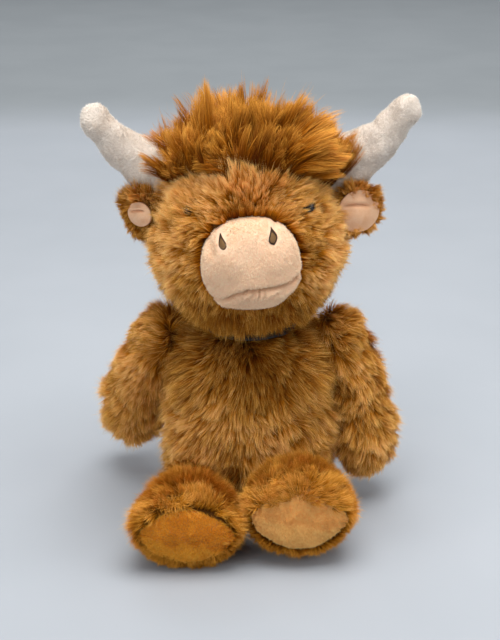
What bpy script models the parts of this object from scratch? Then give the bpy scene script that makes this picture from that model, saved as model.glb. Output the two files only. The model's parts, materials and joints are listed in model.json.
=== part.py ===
"""Seated plush cow with a long-pile cover, velour nose, horns and soles, and sewn-on limbs.

Metres, +Z up. The cow faces -Y, and its own left is +X. Run it inside Blender.
Each limb, horn and ear is built round its own joint, and its empty stands on that joint.
"""

import math

import bpy
import bmesh
from mathutils import Matrix, Vector
from mathutils.bvhtree import BVHTree

# Fabric and clearances
GAP = 0.0003
STUFFING_GAP = 0.0013
PILE = 0.0060
NAP = 0.0016
RUNNING_GAP = 0.0008
CUT_OVERRUN = 0.0200
MERGE_DISTANCE = GAP / 10
RAY_START = 0.2000
FLOOR_REACH = 0.4000
ROOT_MOUTH = math.radians(28)
ROOT_TURN = math.radians(74)
ROOT_STEPS = 3
SMOOTH_ANGLE = math.radians(50)

# Trunk, from the seat up to the neck
TORSO_HEIGHT = 0.1170
TORSO_HALF_WIDTH = 0.0475
TORSO_HALF_DEPTH = 0.0400
TORSO_SQUARENESS = 2.3
TORSO_SHARES = (
    (0.00, 0.66, 0.52, 0.14),
    (0.03, 0.78, 0.66, 0.13),
    (0.12, 0.93, 0.84, 0.07),
    (0.28, 1.00, 0.97, 0.01),
    (0.46, 1.00, 1.00, 0.00),
    (0.64, 0.94, 0.95, 0.00),
    (0.80, 0.87, 0.88, 0.00),
    (0.90, 0.79, 0.78, 0.00),
    (0.96, 0.60, 0.65, 0.00),
    (1.00, 0.38, 0.46, 0.00),
)
BAG_HALF_WIDTH = 0.0230
BAG_HALF_DEPTH = 0.0160
BAG_HEIGHT = 0.0200
BAG_STEPS = 3

# Neck
NECK_RISE = 0.0040
NECK_HEIGHT = TORSO_HEIGHT + NECK_RISE
NECK_BALL_RADIUS = 0.0170
RIBBON_RADIUS = 0.0255
RIBBON_WIDTH = 0.0062
RIBBON_THICKNESS = 0.0010
RIBBON_SLOPE = math.radians(46)
RIBBON_DROP = 0.0057
RIBBON_CROWN_SHARE = 1.3

# Head, measured from the neck pivot
HEAD_RISE = 0.0515
HEAD_FORWARD = 0.0080
HEAD_HALF_WIDTH = 0.0550
HEAD_HALF_DEPTH = 0.0500
HEAD_HALF_HEIGHT = 0.0520
HEAD_NECK_OPENING = math.radians(18)
HEAD_STEPS = 10
CHEEK_SHARE = 0.090
HEAD_ROLL = math.radians(1.5)
HEAD_TURN = math.radians(1.5)

# Nose patch, measured from the middle of the head
MUZZLE_HALF_WIDTH = 0.0268
MUZZLE_HALF_HEIGHT = 0.0243
MUZZLE_RISE = 0.0030
MUZZLE_FRONT = 0.0700
MUZZLE_DEPTH = 0.0340
MUZZLE_PITCH = math.radians(4)
MUZZLE_ROLL = math.radians(-5.5)
MUZZLE_SQUARENESS = 2.15
MUZZLE_SHARES = (
    (0.00, 0.97),
    (0.22, 0.99),
    (0.42, 1.00),
    (0.58, 0.97),
    (0.72, 0.88),
    (0.84, 0.73),
    (0.93, 0.52),
    (0.98, 0.27),
    (1.00, 0.00),
)
NOSTRIL_SPACING = 0.0272
NOSTRIL_RISE = 0.0185
NOSTRIL_HALF_WIDTH = 0.0021
NOSTRIL_HALF_HEIGHT = 0.0040
NOSTRIL_LEAN = math.radians(-22)
NOSTRIL_RAISE = 0.0009
MOUTH_HALF_LENGTH = 0.0165
MOUTH_DROP = 0.0085
MOUTH_SAG = 0.0024
MOUTH_THREAD_RADIUS = 0.0005
MOUTH_POINTS = 13

# Eyes
EYE_SPACING = 0.0660
EYE_RISE = 0.0245
EYE_RADIUS = 0.0045
EYE_DOME = 0.0034
EYE_DOME_STEPS = 5
STEM_RADIUS = 0.0016
STEM_LENGTH = 0.0120
WASHER_RADIUS = 0.0060
WASHER_THICKNESS = 0.0012
WASHER_DEPTH = 0.0018

# Horns
HORN_SPACING = 0.0870
HORN_SIDE = 0.0035
HORN_RISE = 0.0335
HORN_BACK = 0.0100
HORN_ROOT_RADIUS = 0.0145
HORN_TIP_RADIUS = 0.0088
HORN_LENGTH = 0.0655
HORN_START_ANGLE = math.radians(18)
HORN_END_ANGLE = math.radians(62)
HORN_TILT = math.radians(12)
HORN_STEPS = 5
HORN_END_SHARES = (0.45, 0.78)

# Ears
EAR_RADIUS = 0.0145
EAR_LINING_RADIUS = 0.0120
EAR_BOWL_RADIUS = 0.0260
EAR_THICKNESS = 0.0028
EAR_LINING_THICKNESS = 0.0014
EAR_RISE = 0.0160
EAR_BACK = -0.0105
EAR_REACH = 0.0142
EAR_TURN = {"left": math.radians(14), "right": math.radians(36)}
EAR_DROOP = math.radians(8)
EAR_STEPS = 4

# Topknot of long pile
MANE_HALF_WIDTH = 0.0600
MANE_HALF_DEPTH = 0.0490
MANE_RISE = 0.0345
MANE_HEIGHT = 0.0455
MANE_BACK = 0.0050
MANE_SIDE = 0.0060
MANE_SHARES = (
    (0.00, 0.93),
    (0.12, 1.00),
    (0.32, 0.99),
    (0.52, 0.91),
    (0.72, 0.75),
    (0.88, 0.51),
    (1.00, 0.00),
)
MANE_LOCKS = 9
MANE_LOCK_SHARE = 0.055
MANE_TWIST = 3.0

# Arms: right is the cow's own right, at -X
SHOULDER_HEIGHT = 0.1060
SHOULDER_SPACING = 0.1070
SHOULDER_BACK = 0.0000
ARM_ROOT_RADIUS = 0.0168
ARM_MOUTH_RADIUS = 0.0080
ARM_LENGTH = 0.0940
ARM_RADIUS = 0.0182
ARM_SHARES = (
    (0.14, 0.90),
    (0.32, 0.92),
    (0.52, 0.96),
    (0.68, 1.00),
    (0.80, 0.99),
    (0.89, 0.86),
    (0.955, 0.62),
    (0.988, 0.34),
    (1.00, 0.00),
)
ARM_FLATNESS_SHARE = 0.94
ARM_SPLAY = {"left": math.radians(22), "right": math.radians(24)}
ARM_BACKWARD = {"left": math.radians(-2), "right": math.radians(24)}
ARM_BEND = math.radians(20)
ARM_HINGE_SLANT = math.radians(20)

# Legs
HIP_HEIGHT = 0.0240
HIP_OUT = {"left": 0.0275, "right": 0.0354}
HIP_FORWARD = {"left": 0.0298, "right": 0.0365}
LEG_PITCH = {"left": math.radians(7), "right": math.radians(-1)}
LEG_ROOT_RADIUS = 0.0180
LEG_LENGTH = 0.0600
FOOT_HALF_WIDTH = 0.0310
FOOT_HALF_HEIGHT = 0.0258
LEG_SHARES = (
    (0.16, 0.50, 0.56),
    (0.36, 0.60, 0.70),
    (0.56, 0.84, 0.90),
    (0.72, 0.97, 1.00),
    (0.86, 1.00, 1.00),
    (0.95, 0.99, 0.94),
    (1.00, 0.97, 0.80),
)
SOLE_TILT = {"left": math.radians(5), "right": math.radians(-7)}
PAD_THICKNESS = 0.0024
PAD_CROWN = 0.0042
PAD_SETBACK = 0.0032
PAD_POINTEDNESS = 1.25
PAD_RINGS = 3

# Tail
TAIL_HEIGHT = 0.0480
TAIL_RADIUS = 0.0030
TAIL_CORD_LENGTH = 0.0260
TAIL_TUFT_RADIUS = 0.0066
TAIL_TUFT_LENGTH = 0.0180
TAIL_LIFT = math.radians(12)
TAIL_TUFT_SHARES = (
    (0.20, 0.85),
    (0.45, 1.00),
    (0.70, 0.85),
    (0.90, 0.45),
)

# Facets
BODY_SIDES = 20
LIMB_SIDES = 16
HORN_SIDES = 14
SMALL_SIDES = 12
CUTTER_SIDES = 24

SIDES = {"left": 1, "right": -1}
UP = Vector((0, 0, 1))
FORWARD = Vector((0, -1, 0))
ACROSS = Vector((1, 0, 0))


def clear_scene():
    for obj in list(bpy.data.objects):
        bpy.data.objects.remove(obj)


def new_collection(name):
    collection = bpy.data.collections.new(name)
    bpy.context.scene.collection.children.link(collection)
    return collection


def material(name, colour, roughness):
    made = bpy.data.materials.new(name)
    made.use_nodes = True
    shader = made.node_tree.nodes["Principled BSDF"]
    shader.inputs["Base Color"].default_value = (*colour, 1)
    shader.inputs["Roughness"].default_value = roughness
    shader.inputs["Metallic"].default_value = 0
    made.diffuse_color = (*colour, 1)
    return made


def make_materials():
    return {
        "pile": material("long_pile", (0.38, 0.19, 0.06), 0.95),
        "mane": material("mane_pile", (0.40, 0.16, 0.04), 0.92),
        "nose": material("nose_velour", (0.86, 0.62, 0.46), 0.90),
        "horn": material("horn_velour", (0.72, 0.65, 0.58), 0.92),
        "sole": material("sole_velour", (0.62, 0.34, 0.12), 0.90),
        "thread": material("brown_thread", (0.22, 0.11, 0.05), 0.75),
        "ribbon": material("black_ribbon", (0.02, 0.02, 0.02), 0.60),
        "eye": material("eye_plastic", (0.02, 0.01, 0.01), 0.12),
        "washer": material("washer_plastic", (0.85, 0.85, 0.83), 0.50),
        "stuffing": material("fibre_stuffing", (0.88, 0.88, 0.86), 0.98),
        "bag": material("pellet_bag_cloth", (0.70, 0.70, 0.68), 0.95),
    }


def empty(name, parent, location=(0, 0, 0), turn=None):
    made = bpy.data.objects.new(name, None)
    made.empty_display_size = NECK_BALL_RADIUS
    WORK["parts"].objects.link(made)
    made.parent = parent
    made.matrix_local = Matrix.Translation(location) @ (turn or Matrix.Identity(4))
    return made


def add_object(name, mesh, parent, finish=None, cutter=False):
    """A part with its material, or a cutter, which no render shows."""
    made = bpy.data.objects.new(name, mesh)
    WORK["cutters" if cutter else "parts"].objects.link(made)
    made.parent = parent
    if cutter:
        made.hide_render = True
        made.display_type = "WIRE"
    else:
        mesh.materials.append(WORK["materials"][finish])
        mesh.shade_smooth()
        mesh.set_sharp_from_angle(angle=SMOOTH_ANGLE)
    return made


def face_outwards(bm):
    middle = sum((v.co for v in bm.verts), Vector()) / len(bm.verts)
    facing = sum(f.normal.dot(f.calc_center_median() - middle) * f.calc_area() for f in bm.faces)
    if facing < 0:
        bmesh.ops.reverse_faces(bm, faces=bm.faces)


def mesh_of(bm, name):
    mesh = bpy.data.meshes.new(name)
    bm.to_mesh(mesh)
    bm.free()
    return mesh


def curve_through(rows, steps):
    """Rows of numbers on the Catmull-Rom curve through the given rows, with so many steps a span."""
    rows = [Vector(row) for row in rows]
    first = rows[0] * 2 - rows[1]
    last = rows[-1] * 2 - rows[-2]
    known = [first, *rows, last]
    found = []
    for k in range(1, len(known) - 2):
        a, b, c, d = known[k - 1 : k + 3]
        for step in range(steps):
            t = step / steps
            square = a * 2 - b * 5 + c * 4 - d
            cube = b * 3 - a - c * 3 + d
            found.append((b * 2 + (c - a) * t + square * t**2 + cube * t**3) / 2)
    return [*found, rows[-1]]


def ball_rows(radius, first_angle, last_angle, steps):
    """Rows of a sphere round the start of a form: (along, half width, half height, shift)."""
    angles = [first_angle + (last_angle - first_angle) * k / steps for k in range(steps + 1)]
    return [(-radius * math.cos(a), radius * math.sin(a), radius * math.sin(a), 0) for a in angles]


def offset_rows(rows, distance):
    """The rows moved out along the profile's normal, or in where the distance is negative."""
    means = [(row[0], (row[1] + row[2]) / 2) for row in rows]
    moved = []
    for k, (along, wide, high, shift) in enumerate(rows):
        before = means[max(k - 1, 0)]
        after = means[min(k + 1, len(rows) - 1)]
        slope = Vector((after[0] - before[0], after[1] - before[1])).normalized()
        if means[k][1] == 0:
            ahead = 1 if k else -1
            moved.append((along + ahead * distance, 0, 0, shift))
            continue
        step = slope * distance
        moved.append((along - step.y, wide + step.x, high + step.x, shift))
    return moved


def straight(direction, across, up):
    """A place along a straight form: its centre and the two directions of its section."""
    return lambda along: (direction * along, across, up)


def form_mesh(name, rows, place, sides, power=2.0, ripple=None):
    """A surface lofted through unlike oval sections. A row of no width closes it in a point."""
    bm = bmesh.new()
    rings = []
    for along, wide, high, shift in rows:
        centre, across, up = place(along)
        centre = centre + up * shift
        if wide == 0:
            rings.append([bm.verts.new(centre)])
            continue
        ring = []
        for k in range(sides):
            angle = math.tau * k / sides
            u, v = math.cos(angle), math.sin(angle)
            swell = ripple(along, angle) if ripple else 1
            u = math.copysign(abs(u) ** (2 / power), u) * swell
            v = math.copysign(abs(v) ** (2 / power), v) * swell
            ring.append(bm.verts.new(centre + across * wide * u + up * high * v))
        rings.append(ring)
    for low, high in zip(rings, rings[1:]):
        for k in range(sides):
            n = (k + 1) % sides
            corners = [low[k % len(low)], low[n % len(low)], high[n % len(high)], high[k % len(high)]]
            bm.faces.new(list(dict.fromkeys(corners)))
    bm.normal_update()
    face_outwards(bm)
    return mesh_of(bm, name)


def add_solidify(obj, thickness):
    made = obj.modifiers.new("Cloth", "SOLIDIFY")
    made.thickness = thickness
    made.offset = -1
    made.use_even_offset = True
    made.use_rim = True


def add_boolean(obj, other, operation="DIFFERENCE"):
    made = obj.modifiers.new(f"{operation.title()} {other.name}", "BOOLEAN")
    made.operation = operation
    made.solver = "EXACT"
    made.object = other


def sphere_mesh(name, radius, sides=CUTTER_SIDES, squash=(1, 1, 1)):
    """A sphere whose flat facets, not its corners, lie at the radius, so that it clears what turns in it."""
    bm = bmesh.new()
    outer = radius / math.cos(math.pi / sides) ** 2
    bmesh.ops.create_uvsphere(bm, u_segments=sides, v_segments=sides // 2, radius=outer)
    bmesh.ops.scale(bm, vec=Vector(squash), verts=bm.verts)
    return mesh_of(bm, name)


def cylinder_mesh(name, radius, low, high, sides):
    bm = bmesh.new()
    bmesh.ops.create_cone(
        bm, cap_ends=True, segments=sides, radius1=radius, radius2=radius, depth=high - low
    )
    bmesh.ops.translate(bm, vec=UP * (high + low) / 2, verts=bm.verts)
    return mesh_of(bm, name)


def turned_mesh(name, profile, sides):
    """A mesh turned about Z from (radius, height) points that run down its outer side."""
    bm = bmesh.new()
    points = [bm.verts.new((radius, 0, height)) for radius, height in profile]
    for a, b in zip(points, points[1:] + (points[:1] if profile[0][0] and profile[-1][0] else [])):
        bm.edges.new((a, b))
    guide = bpy.data.objects.new("turning", mesh_of(bm, "turning"))
    bpy.context.scene.collection.objects.link(guide)
    screw = guide.modifiers.new("Turn", "SCREW")
    screw.steps = sides
    screw.render_steps = sides
    screw.use_merge_vertices = True
    screw.merge_threshold = MERGE_DISTANCE
    bpy.context.view_layer.update()
    graph = bpy.context.evaluated_depsgraph_get()
    mesh = bpy.data.meshes.new_from_object(guide.evaluated_get(graph))
    bpy.data.objects.remove(guide)
    bm = bmesh.new()
    bm.from_mesh(mesh)
    bmesh.ops.remove_doubles(bm, verts=bm.verts, dist=MERGE_DISTANCE)
    bmesh.ops.recalc_face_normals(bm, faces=bm.faces)
    bpy.data.meshes.remove(mesh)
    return mesh_of(bm, name)


def facing(normal, up=UP):
    """The turn that points local +Z along the normal and keeps local +Y near up."""
    z = normal.normalized()
    x = up.cross(z).normalized()
    y = z.cross(x)
    return Matrix((x, y, z)).transposed().to_4x4()


def surface_hit(mesh, start, direction):
    bm = bmesh.new()
    bm.from_mesh(mesh)
    tree = BVHTree.FromBMesh(bm)
    place, normal, _, _ = tree.ray_cast(start, direction)
    bm.free()
    return place, normal


def torso_rows():
    stations = [
        (
            up * TORSO_HEIGHT,
            wide * TORSO_HALF_WIDTH,
            deep * TORSO_HALF_DEPTH,
            -back * TORSO_HALF_DEPTH,
        )
        for up, wide, deep, back in TORSO_SHARES
    ]
    return curve_through(stations, 1)


def make_torso(root, cutters):
    """The trunk's cover is open at the neck. Its filling rests on a bag of pellets in the seat."""
    upright = straight(UP, ACROSS, FORWARD)
    rows = torso_rows()
    seat = (0, 0, 0, rows[0][3])
    skin = form_mesh("torso_cover", [seat, *rows], upright, BODY_SIDES, TORSO_SQUARENESS)
    cover = add_object("torso_cover", skin, root, "pile")
    add_solidify(cover, PILE)
    inset = PILE + STUFFING_GAP
    floor = PILE + GAP
    base = rows[0]
    low = (floor, base[1] - inset, base[2] - inset, base[3])
    inner = [row for row in offset_rows(rows, -inset) if row[0] > floor + PILE / 2]
    top = inner[-1]
    closed = [(floor, 0, 0, base[3]), low, *inner, (top[0], 0, 0, top[3])]
    core = form_mesh("torso_filling", closed, upright, LIMB_SIDES, TORSO_SQUARENESS)
    filling = add_object("torso_filling", core, root, "stuffing")
    angles = [k * math.pi / 2 / BAG_STEPS for k in range(1, BAG_STEPS)]
    bag_rows = [
        (0, 0, 0, 0),
        (0, BAG_HALF_WIDTH, BAG_HALF_DEPTH, 0),
        *[
            (BAG_HEIGHT * math.sin(a), BAG_HALF_WIDTH * math.cos(a), BAG_HALF_DEPTH * math.cos(a), 0)
            for a in angles
        ],
        (BAG_HEIGHT, 0, 0, 0),
    ]
    place = Vector((0, -base[3], floor))
    bag = add_object(
        "pellet_bag", form_mesh("pellet_bag", bag_rows, upright, LIMB_SIDES), root, "bag"
    )
    bag.location = place
    pocket_rows = [(-CUT_OVERRUN, 0, 0, 0), (-CUT_OVERRUN, BAG_HALF_WIDTH + GAP, BAG_HALF_DEPTH + GAP, 0)]
    pocket_rows += offset_rows(bag_rows[1:], GAP)[1:]
    pocket_rows.insert(2, (0, BAG_HALF_WIDTH + GAP, BAG_HALF_DEPTH + GAP, 0))
    pocket = add_object(
        "bag_pocket", form_mesh("bag_pocket", pocket_rows, upright, LIMB_SIDES), root, cutter=True
    )
    pocket.location = place
    add_boolean(filling, pocket)
    for cutter in cutters:
        add_boolean(cover, cutter)
        add_boolean(filling, cutter)
    return cover


def make_neck(root):
    """A firm plug of stuffing carries the head. The ribbon lies round it, on the slope of the shoulders."""
    neck = empty("neck_turn_axis", root, (0, 0, NECK_HEIGHT))
    plug = sphere_mesh("neck_filling", NECK_BALL_RADIUS * math.cos(math.pi / LIMB_SIDES) ** 2, LIMB_SIDES)
    add_object("neck_filling", plug, neck, "stuffing")
    along = Vector((math.cos(RIBBON_SLOPE), -math.sin(RIBBON_SLOPE))) * RIBBON_WIDTH / 2
    out = Vector((math.sin(RIBBON_SLOPE), math.cos(RIBBON_SLOPE))) * RIBBON_THICKNESS
    middle = Vector((RIBBON_RADIUS, -RIBBON_DROP))
    crown = middle + out * RIBBON_CROWN_SHARE
    profile = [middle - along + out, crown, middle + along + out, middle + along, middle - along]
    add_object("neck_ribbon", turned_mesh("neck_ribbon", profile, 2 * LIMB_SIDES), neck, "ribbon")
    return neck


def head_rows(first_angle):
    """The head from its neck opening to its crown, fuller at the cheeks."""
    rows = []
    for k in range(HEAD_STEPS + 1):
        angle = first_angle + (math.pi - first_angle) * k / HEAD_STEPS
        cheek = 1 + CHEEK_SHARE * math.cos(angle) * math.sin(angle) ** 2
        spread = math.sin(angle) if k < HEAD_STEPS else 0
        rows.append(
            (
                -HEAD_HALF_HEIGHT * math.cos(angle),
                HEAD_HALF_WIDTH * spread * cheek,
                HEAD_HALF_DEPTH * spread,
                0,
            )
        )
    return rows


def head_core_rows(depth):
    """The closed form that lies so deep inside the head."""
    rows = offset_rows(head_rows(0)[1:], -depth)
    return [(rows[0][0], 0, 0, 0), *rows]


def make_head(head, neck_cutter):
    """The cover is open at the neck and where the nose patch is sewn in."""
    upright = straight(UP, ACROSS, FORWARD)
    middle = empty("head_middle", head, (0, -HEAD_FORWARD, HEAD_RISE))
    rows = head_rows(HEAD_NECK_OPENING)
    whole = [(rows[0][0], 0, 0, 0), *rows]
    cover = add_object("head_cover", form_mesh("head_cover", rows, upright, BODY_SIDES), middle, "pile")
    add_solidify(cover, PILE)
    core = form_mesh("head_filling", head_core_rows(PILE + STUFFING_GAP), upright, LIMB_SIDES)
    filling = add_object("head_filling", core, middle, "stuffing")
    add_boolean(cover, neck_cutter)
    add_boolean(filling, neck_cutter)
    outside = form_mesh("head_outside", offset_rows(whole[1:], GAP), upright, BODY_SIDES)
    return middle, cover, filling, outside


def muzzle_turn():
    lean = Matrix.Rotation(MUZZLE_ROLL, 4, "Y")
    return lean @ Matrix.Rotation(MUZZLE_PITCH, 4, "X")


def make_muzzle(middle, cover, filling):
    """The velour patch is a dome over its own stuffing, which belongs to the head's."""
    nose = empty("muzzle_middle", middle, (0, 0, MUZZLE_RISE), muzzle_turn())
    along = straight(FORWARD, ACROSS, UP)
    back = MUZZLE_FRONT - MUZZLE_DEPTH
    rows = [
        (back + share * MUZZLE_DEPTH, wide * MUZZLE_HALF_WIDTH, wide * MUZZLE_HALF_HEIGHT, 0)
        for share, wide in MUZZLE_SHARES
    ]
    mesh = form_mesh("muzzle", rows, along, BODY_SIDES, MUZZLE_SQUARENESS)
    muzzle = add_object("muzzle", mesh, nose, "nose")
    add_solidify(muzzle, NAP)
    core = form_mesh("head_core", head_core_rows(PILE), straight(UP, ACROSS, FORWARD), BODY_SIDES)
    core_cutter = add_object("head_core_cutter", core, middle, cutter=True)
    add_boolean(muzzle, core_cutter)
    deep = back - MUZZLE_DEPTH / 2
    opening_rows = [
        (deep, 0, 0, 0),
        (deep, MUZZLE_HALF_WIDTH + GAP, MUZZLE_HALF_HEIGHT + GAP, 0),
        (MUZZLE_FRONT + CUT_OVERRUN, MUZZLE_HALF_WIDTH + GAP, MUZZLE_HALF_HEIGHT + GAP, 0),
        (MUZZLE_FRONT + CUT_OVERRUN, 0, 0, 0),
    ]
    opening_mesh = form_mesh("muzzle_opening", opening_rows, along, BODY_SIDES, MUZZLE_SQUARENESS)
    opening = add_object("muzzle_opening", opening_mesh, nose, cutter=True)
    add_boolean(cover, opening)
    stuffing_rows = offset_rows(rows, -(NAP + STUFFING_GAP))
    first = stuffing_rows[0]
    stuffing_rows = [(deep, 0, 0, 0), (deep, first[1], first[2], 0), *stuffing_rows]
    stuffing_mesh = form_mesh("muzzle_stuffing", stuffing_rows, along, BODY_SIDES, MUZZLE_SQUARENESS)
    stuffing = add_object("muzzle_stuffing", stuffing_mesh, nose, cutter=True)
    add_boolean(filling, stuffing, "UNION")
    outside = form_mesh("muzzle_outside", offset_rows(rows, GAP), along, BODY_SIDES, MUZZLE_SQUARENESS)
    return nose, mesh, outside


def make_nose_details(nose, mesh, outside):
    """The nostrils are raised satin stitches, and a thread draws in the mouth."""
    trim = add_object("muzzle_outside", outside, nose, cutter=True)
    for side, sign in SIDES.items():
        start = Vector((sign * NOSTRIL_SPACING / 2, -RAY_START, NOSTRIL_RISE))
        place, normal = surface_hit(mesh, start, -FORWARD)
        name = f"nostril_{side}"
        shape = sphere_mesh(name, 1, SMALL_SIDES, (NOSTRIL_HALF_WIDTH, NOSTRIL_HALF_HEIGHT, NOSTRIL_RAISE))
        nostril = add_object(name, shape, nose, "thread")
        lean = Matrix.Rotation(sign * NOSTRIL_LEAN, 4, "Z")
        nostril.matrix_local = Matrix.Translation(place) @ facing(normal) @ lean
        add_boolean(nostril, trim)
    curve = bpy.data.curves.new("mouth_stitch", "CURVE")
    curve.dimensions = "3D"
    curve.bevel_depth = MOUTH_THREAD_RADIUS
    curve.bevel_resolution = 1
    curve.use_fill_caps = True
    spline = curve.splines.new("POLY")
    spline.points.add(MOUTH_POINTS - 1)
    for k in range(MOUTH_POINTS):
        share = 2 * k / (MOUTH_POINTS - 1) - 1
        high = -MOUTH_DROP - MOUTH_SAG * (1 - share**2)
        start = Vector((share * MOUTH_HALF_LENGTH, -RAY_START, high))
        place, normal = surface_hit(mesh, start, -FORWARD)
        spline.points[k].co = (*(place + normal * (MOUTH_THREAD_RADIUS + GAP)), 1)
    guide = bpy.data.objects.new("mouth_guide", curve)
    bpy.context.scene.collection.objects.link(guide)
    bpy.context.view_layer.update()
    graph = bpy.context.evaluated_depsgraph_get()
    thread = bpy.data.meshes.new_from_object(guide.evaluated_get(graph))
    bpy.data.objects.remove(guide)
    bm = bmesh.new()
    bm.from_mesh(thread)
    bmesh.ops.remove_doubles(bm, verts=bm.verts, dist=MERGE_DISTANCE)
    bpy.data.meshes.remove(thread)
    add_object("mouth_stitch", mesh_of(bm, "mouth_stitch"), nose, "thread")


def eye_profile():
    angles = [k * math.pi / 2 / EYE_DOME_STEPS for k in range(1, EYE_DOME_STEPS + 1)]
    dome = [(0, EYE_DOME), *[(EYE_RADIUS * math.sin(a), EYE_DOME * math.cos(a)) for a in angles]]
    stem = [(STEM_RADIUS, 0), (STEM_RADIUS, -STEM_LENGTH), (0, -STEM_LENGTH)]
    return dome + stem


def make_eyes(middle, cover, filling):
    """Bead eyes: a domed head, a stem through the cover and a washer locked on it inside."""
    for side, sign in SIDES.items():
        start = Vector((sign * EYE_SPACING / 2, -RAY_START, EYE_RISE))
        place, normal = surface_hit(cover.data, start, -FORWARD)
        turn = Matrix.Translation(place + normal * GAP * 2) @ facing(normal)
        eye = add_object(f"eye_{side}", turned_mesh(f"eye_{side}", eye_profile(), LIMB_SIDES), middle, "eye")
        eye.matrix_local = turn
        seat = -(PILE + WASHER_DEPTH)
        inner = STEM_RADIUS + GAP
        ring = [
            (WASHER_RADIUS, seat),
            (WASHER_RADIUS, seat - WASHER_THICKNESS),
            (inner, seat - WASHER_THICKNESS),
            (inner, seat),
        ]
        name = f"eye_washer_{side}"
        washer = add_object(name, turned_mesh(name, ring, LIMB_SIDES), middle, "washer")
        washer.matrix_local = turn
        hole = add_object(
            f"stem_hole_{side}",
            cylinder_mesh("stem_hole", STEM_RADIUS + GAP, -STEM_LENGTH - GAP, CUT_OVERRUN, LIMB_SIDES),
            middle,
            cutter=True,
        )
        pocket = add_object(
            f"washer_pocket_{side}",
            cylinder_mesh(
                "washer_pocket", WASHER_RADIUS + GAP, -STEM_LENGTH - GAP, CUT_OVERRUN, LIMB_SIDES
            ),
            middle,
            cutter=True,
        )
        hole.matrix_local = turn
        pocket.matrix_local = turn
        add_boolean(cover, hole)
        add_boolean(filling, pocket)


def horn_place(sign):
    """A place along the horn's arc, which starts nearly level and ends steep."""
    bend = HORN_END_ANGLE - HORN_START_ANGLE
    radius = HORN_LENGTH / bend

    def place(along):
        angle = HORN_START_ANGLE + bend * along / HORN_LENGTH
        if along <= 0:
            start = Vector((sign * math.cos(HORN_START_ANGLE), 0, math.sin(HORN_START_ANGLE)))
            return start * along, FORWARD, Vector((-start.z * sign, 0, start.x * sign))
        x = radius * (math.sin(angle) - math.sin(HORN_START_ANGLE))
        z = radius * (math.cos(HORN_START_ANGLE) - math.cos(angle))
        up = Vector((-sign * math.sin(angle), 0, math.cos(angle)))
        return Vector((sign * x, 0, z)), FORWARD, up

    return place


def horn_rows(extra=0.0, fan=0.0):
    """The horn's rows, made fatter by extra and by a share of the way along it."""
    root = HORN_ROOT_RADIUS + extra
    rows = ball_rows(root, ROOT_MOUTH, math.pi / 2, ROOT_STEPS)
    body = HORN_LENGTH - HORN_TIP_RADIUS
    for k in range(1, HORN_STEPS + 1):
        along = body * k / HORN_STEPS
        ease = (1 - math.cos(math.pi * k / HORN_STEPS)) / 2
        radius = HORN_ROOT_RADIUS + (HORN_TIP_RADIUS - HORN_ROOT_RADIUS) * ease
        radius += extra + fan * along
        rows.append((along, radius, radius, 0))
    tip = rows[-1][1]
    for share in HORN_END_SHARES:
        angle = share * math.pi / 2
        rows.append((body + tip * math.sin(angle), tip * math.cos(angle), tip * math.cos(angle), 0))
    rows.append((body + tip, 0, 0, 0))
    return rows


def make_horns(middle, cutter_users):
    """Stuffed horns, each sewn to the head at a round root that lies in a dent of the head."""
    pivots = {}
    for side, sign in SIDES.items():
        pivot = Vector((HORN_SIDE + sign * HORN_SPACING / 2, HORN_BACK, HORN_RISE))
        axis = empty(f"horn_{side}_axis", middle, pivot)
        place = horn_place(sign)
        cover = add_object(
            f"horn_{side}", form_mesh(f"horn_{side}", horn_rows(), place, HORN_SIDES), axis, "horn"
        )
        add_solidify(cover, NAP)
        inner = offset_rows(horn_rows(), -(NAP + STUFFING_GAP))
        inner = [(inner[0][0], 0, 0, 0), *inner]
        add_object(
            f"horn_filling_{side}",
            form_mesh(f"horn_filling_{side}", inner, place, SMALL_SIDES),
            axis,
            "stuffing",
        )
        dent = add_object(
            f"horn_dent_{side}", sphere_mesh("horn_dent", HORN_ROOT_RADIUS + GAP), axis, cutter=True
        )
        sweep_rows = horn_rows(RUNNING_GAP, math.sin(HORN_TILT))
        sweep_rows = [(sweep_rows[0][0], 0, 0, 0), *sweep_rows]
        sweep = add_object(
            f"horn_sweep_{side}", form_mesh("horn_sweep", sweep_rows, place, HORN_SIDES), axis, cutter=True
        )
        for user in cutter_users:
            add_boolean(user, dent)
        pivots[side] = (axis, sweep)
    return pivots


def make_mane(middle, outside, sweeps):
    """The topknot is a thick cap with drawn-in locks, cut clear of the head and of both horns."""
    rows = [
        (MANE_RISE + up * MANE_HEIGHT, wide * MANE_HALF_WIDTH, wide * MANE_HALF_DEPTH, -MANE_BACK)
        for up, wide in MANE_SHARES
    ]
    rows = [(MANE_RISE, 0, 0, -MANE_BACK), *rows]

    def ripple(along, angle):
        high = (along - MANE_RISE) / MANE_HEIGHT
        return 1 + MANE_LOCK_SHARE * math.cos(MANE_LOCKS * angle + MANE_TWIST * high) * high

    mesh = form_mesh("mane", rows, straight(UP, ACROSS, FORWARD), 3 * MANE_LOCKS, ripple=ripple)
    mesh.transform(Matrix.Translation(ACROSS * MANE_SIDE))
    mane = add_object("mane", mesh, middle, "mane")
    head_cutter = add_object("head_outside", outside, middle, cutter=True)
    add_boolean(mane, head_cutter)
    for sweep in sweeps:
        add_boolean(mane, sweep)
    return mane


def bowl_rows(radius, bowl):
    """A shallow bowl of cloth. All bowls share one centre, which the ear's own rim sets."""
    edge = math.asin(radius / bowl)
    back = math.sqrt(EAR_BOWL_RADIUS**2 - EAR_RADIUS**2)
    rows = []
    for k in range(EAR_STEPS + 1):
        angle = edge * (1 - k / EAR_STEPS)
        spread = bowl * math.sin(angle) if k < EAR_STEPS else 0
        rows.append((back - bowl * math.cos(angle), spread, spread, 0))
    return rows


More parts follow.
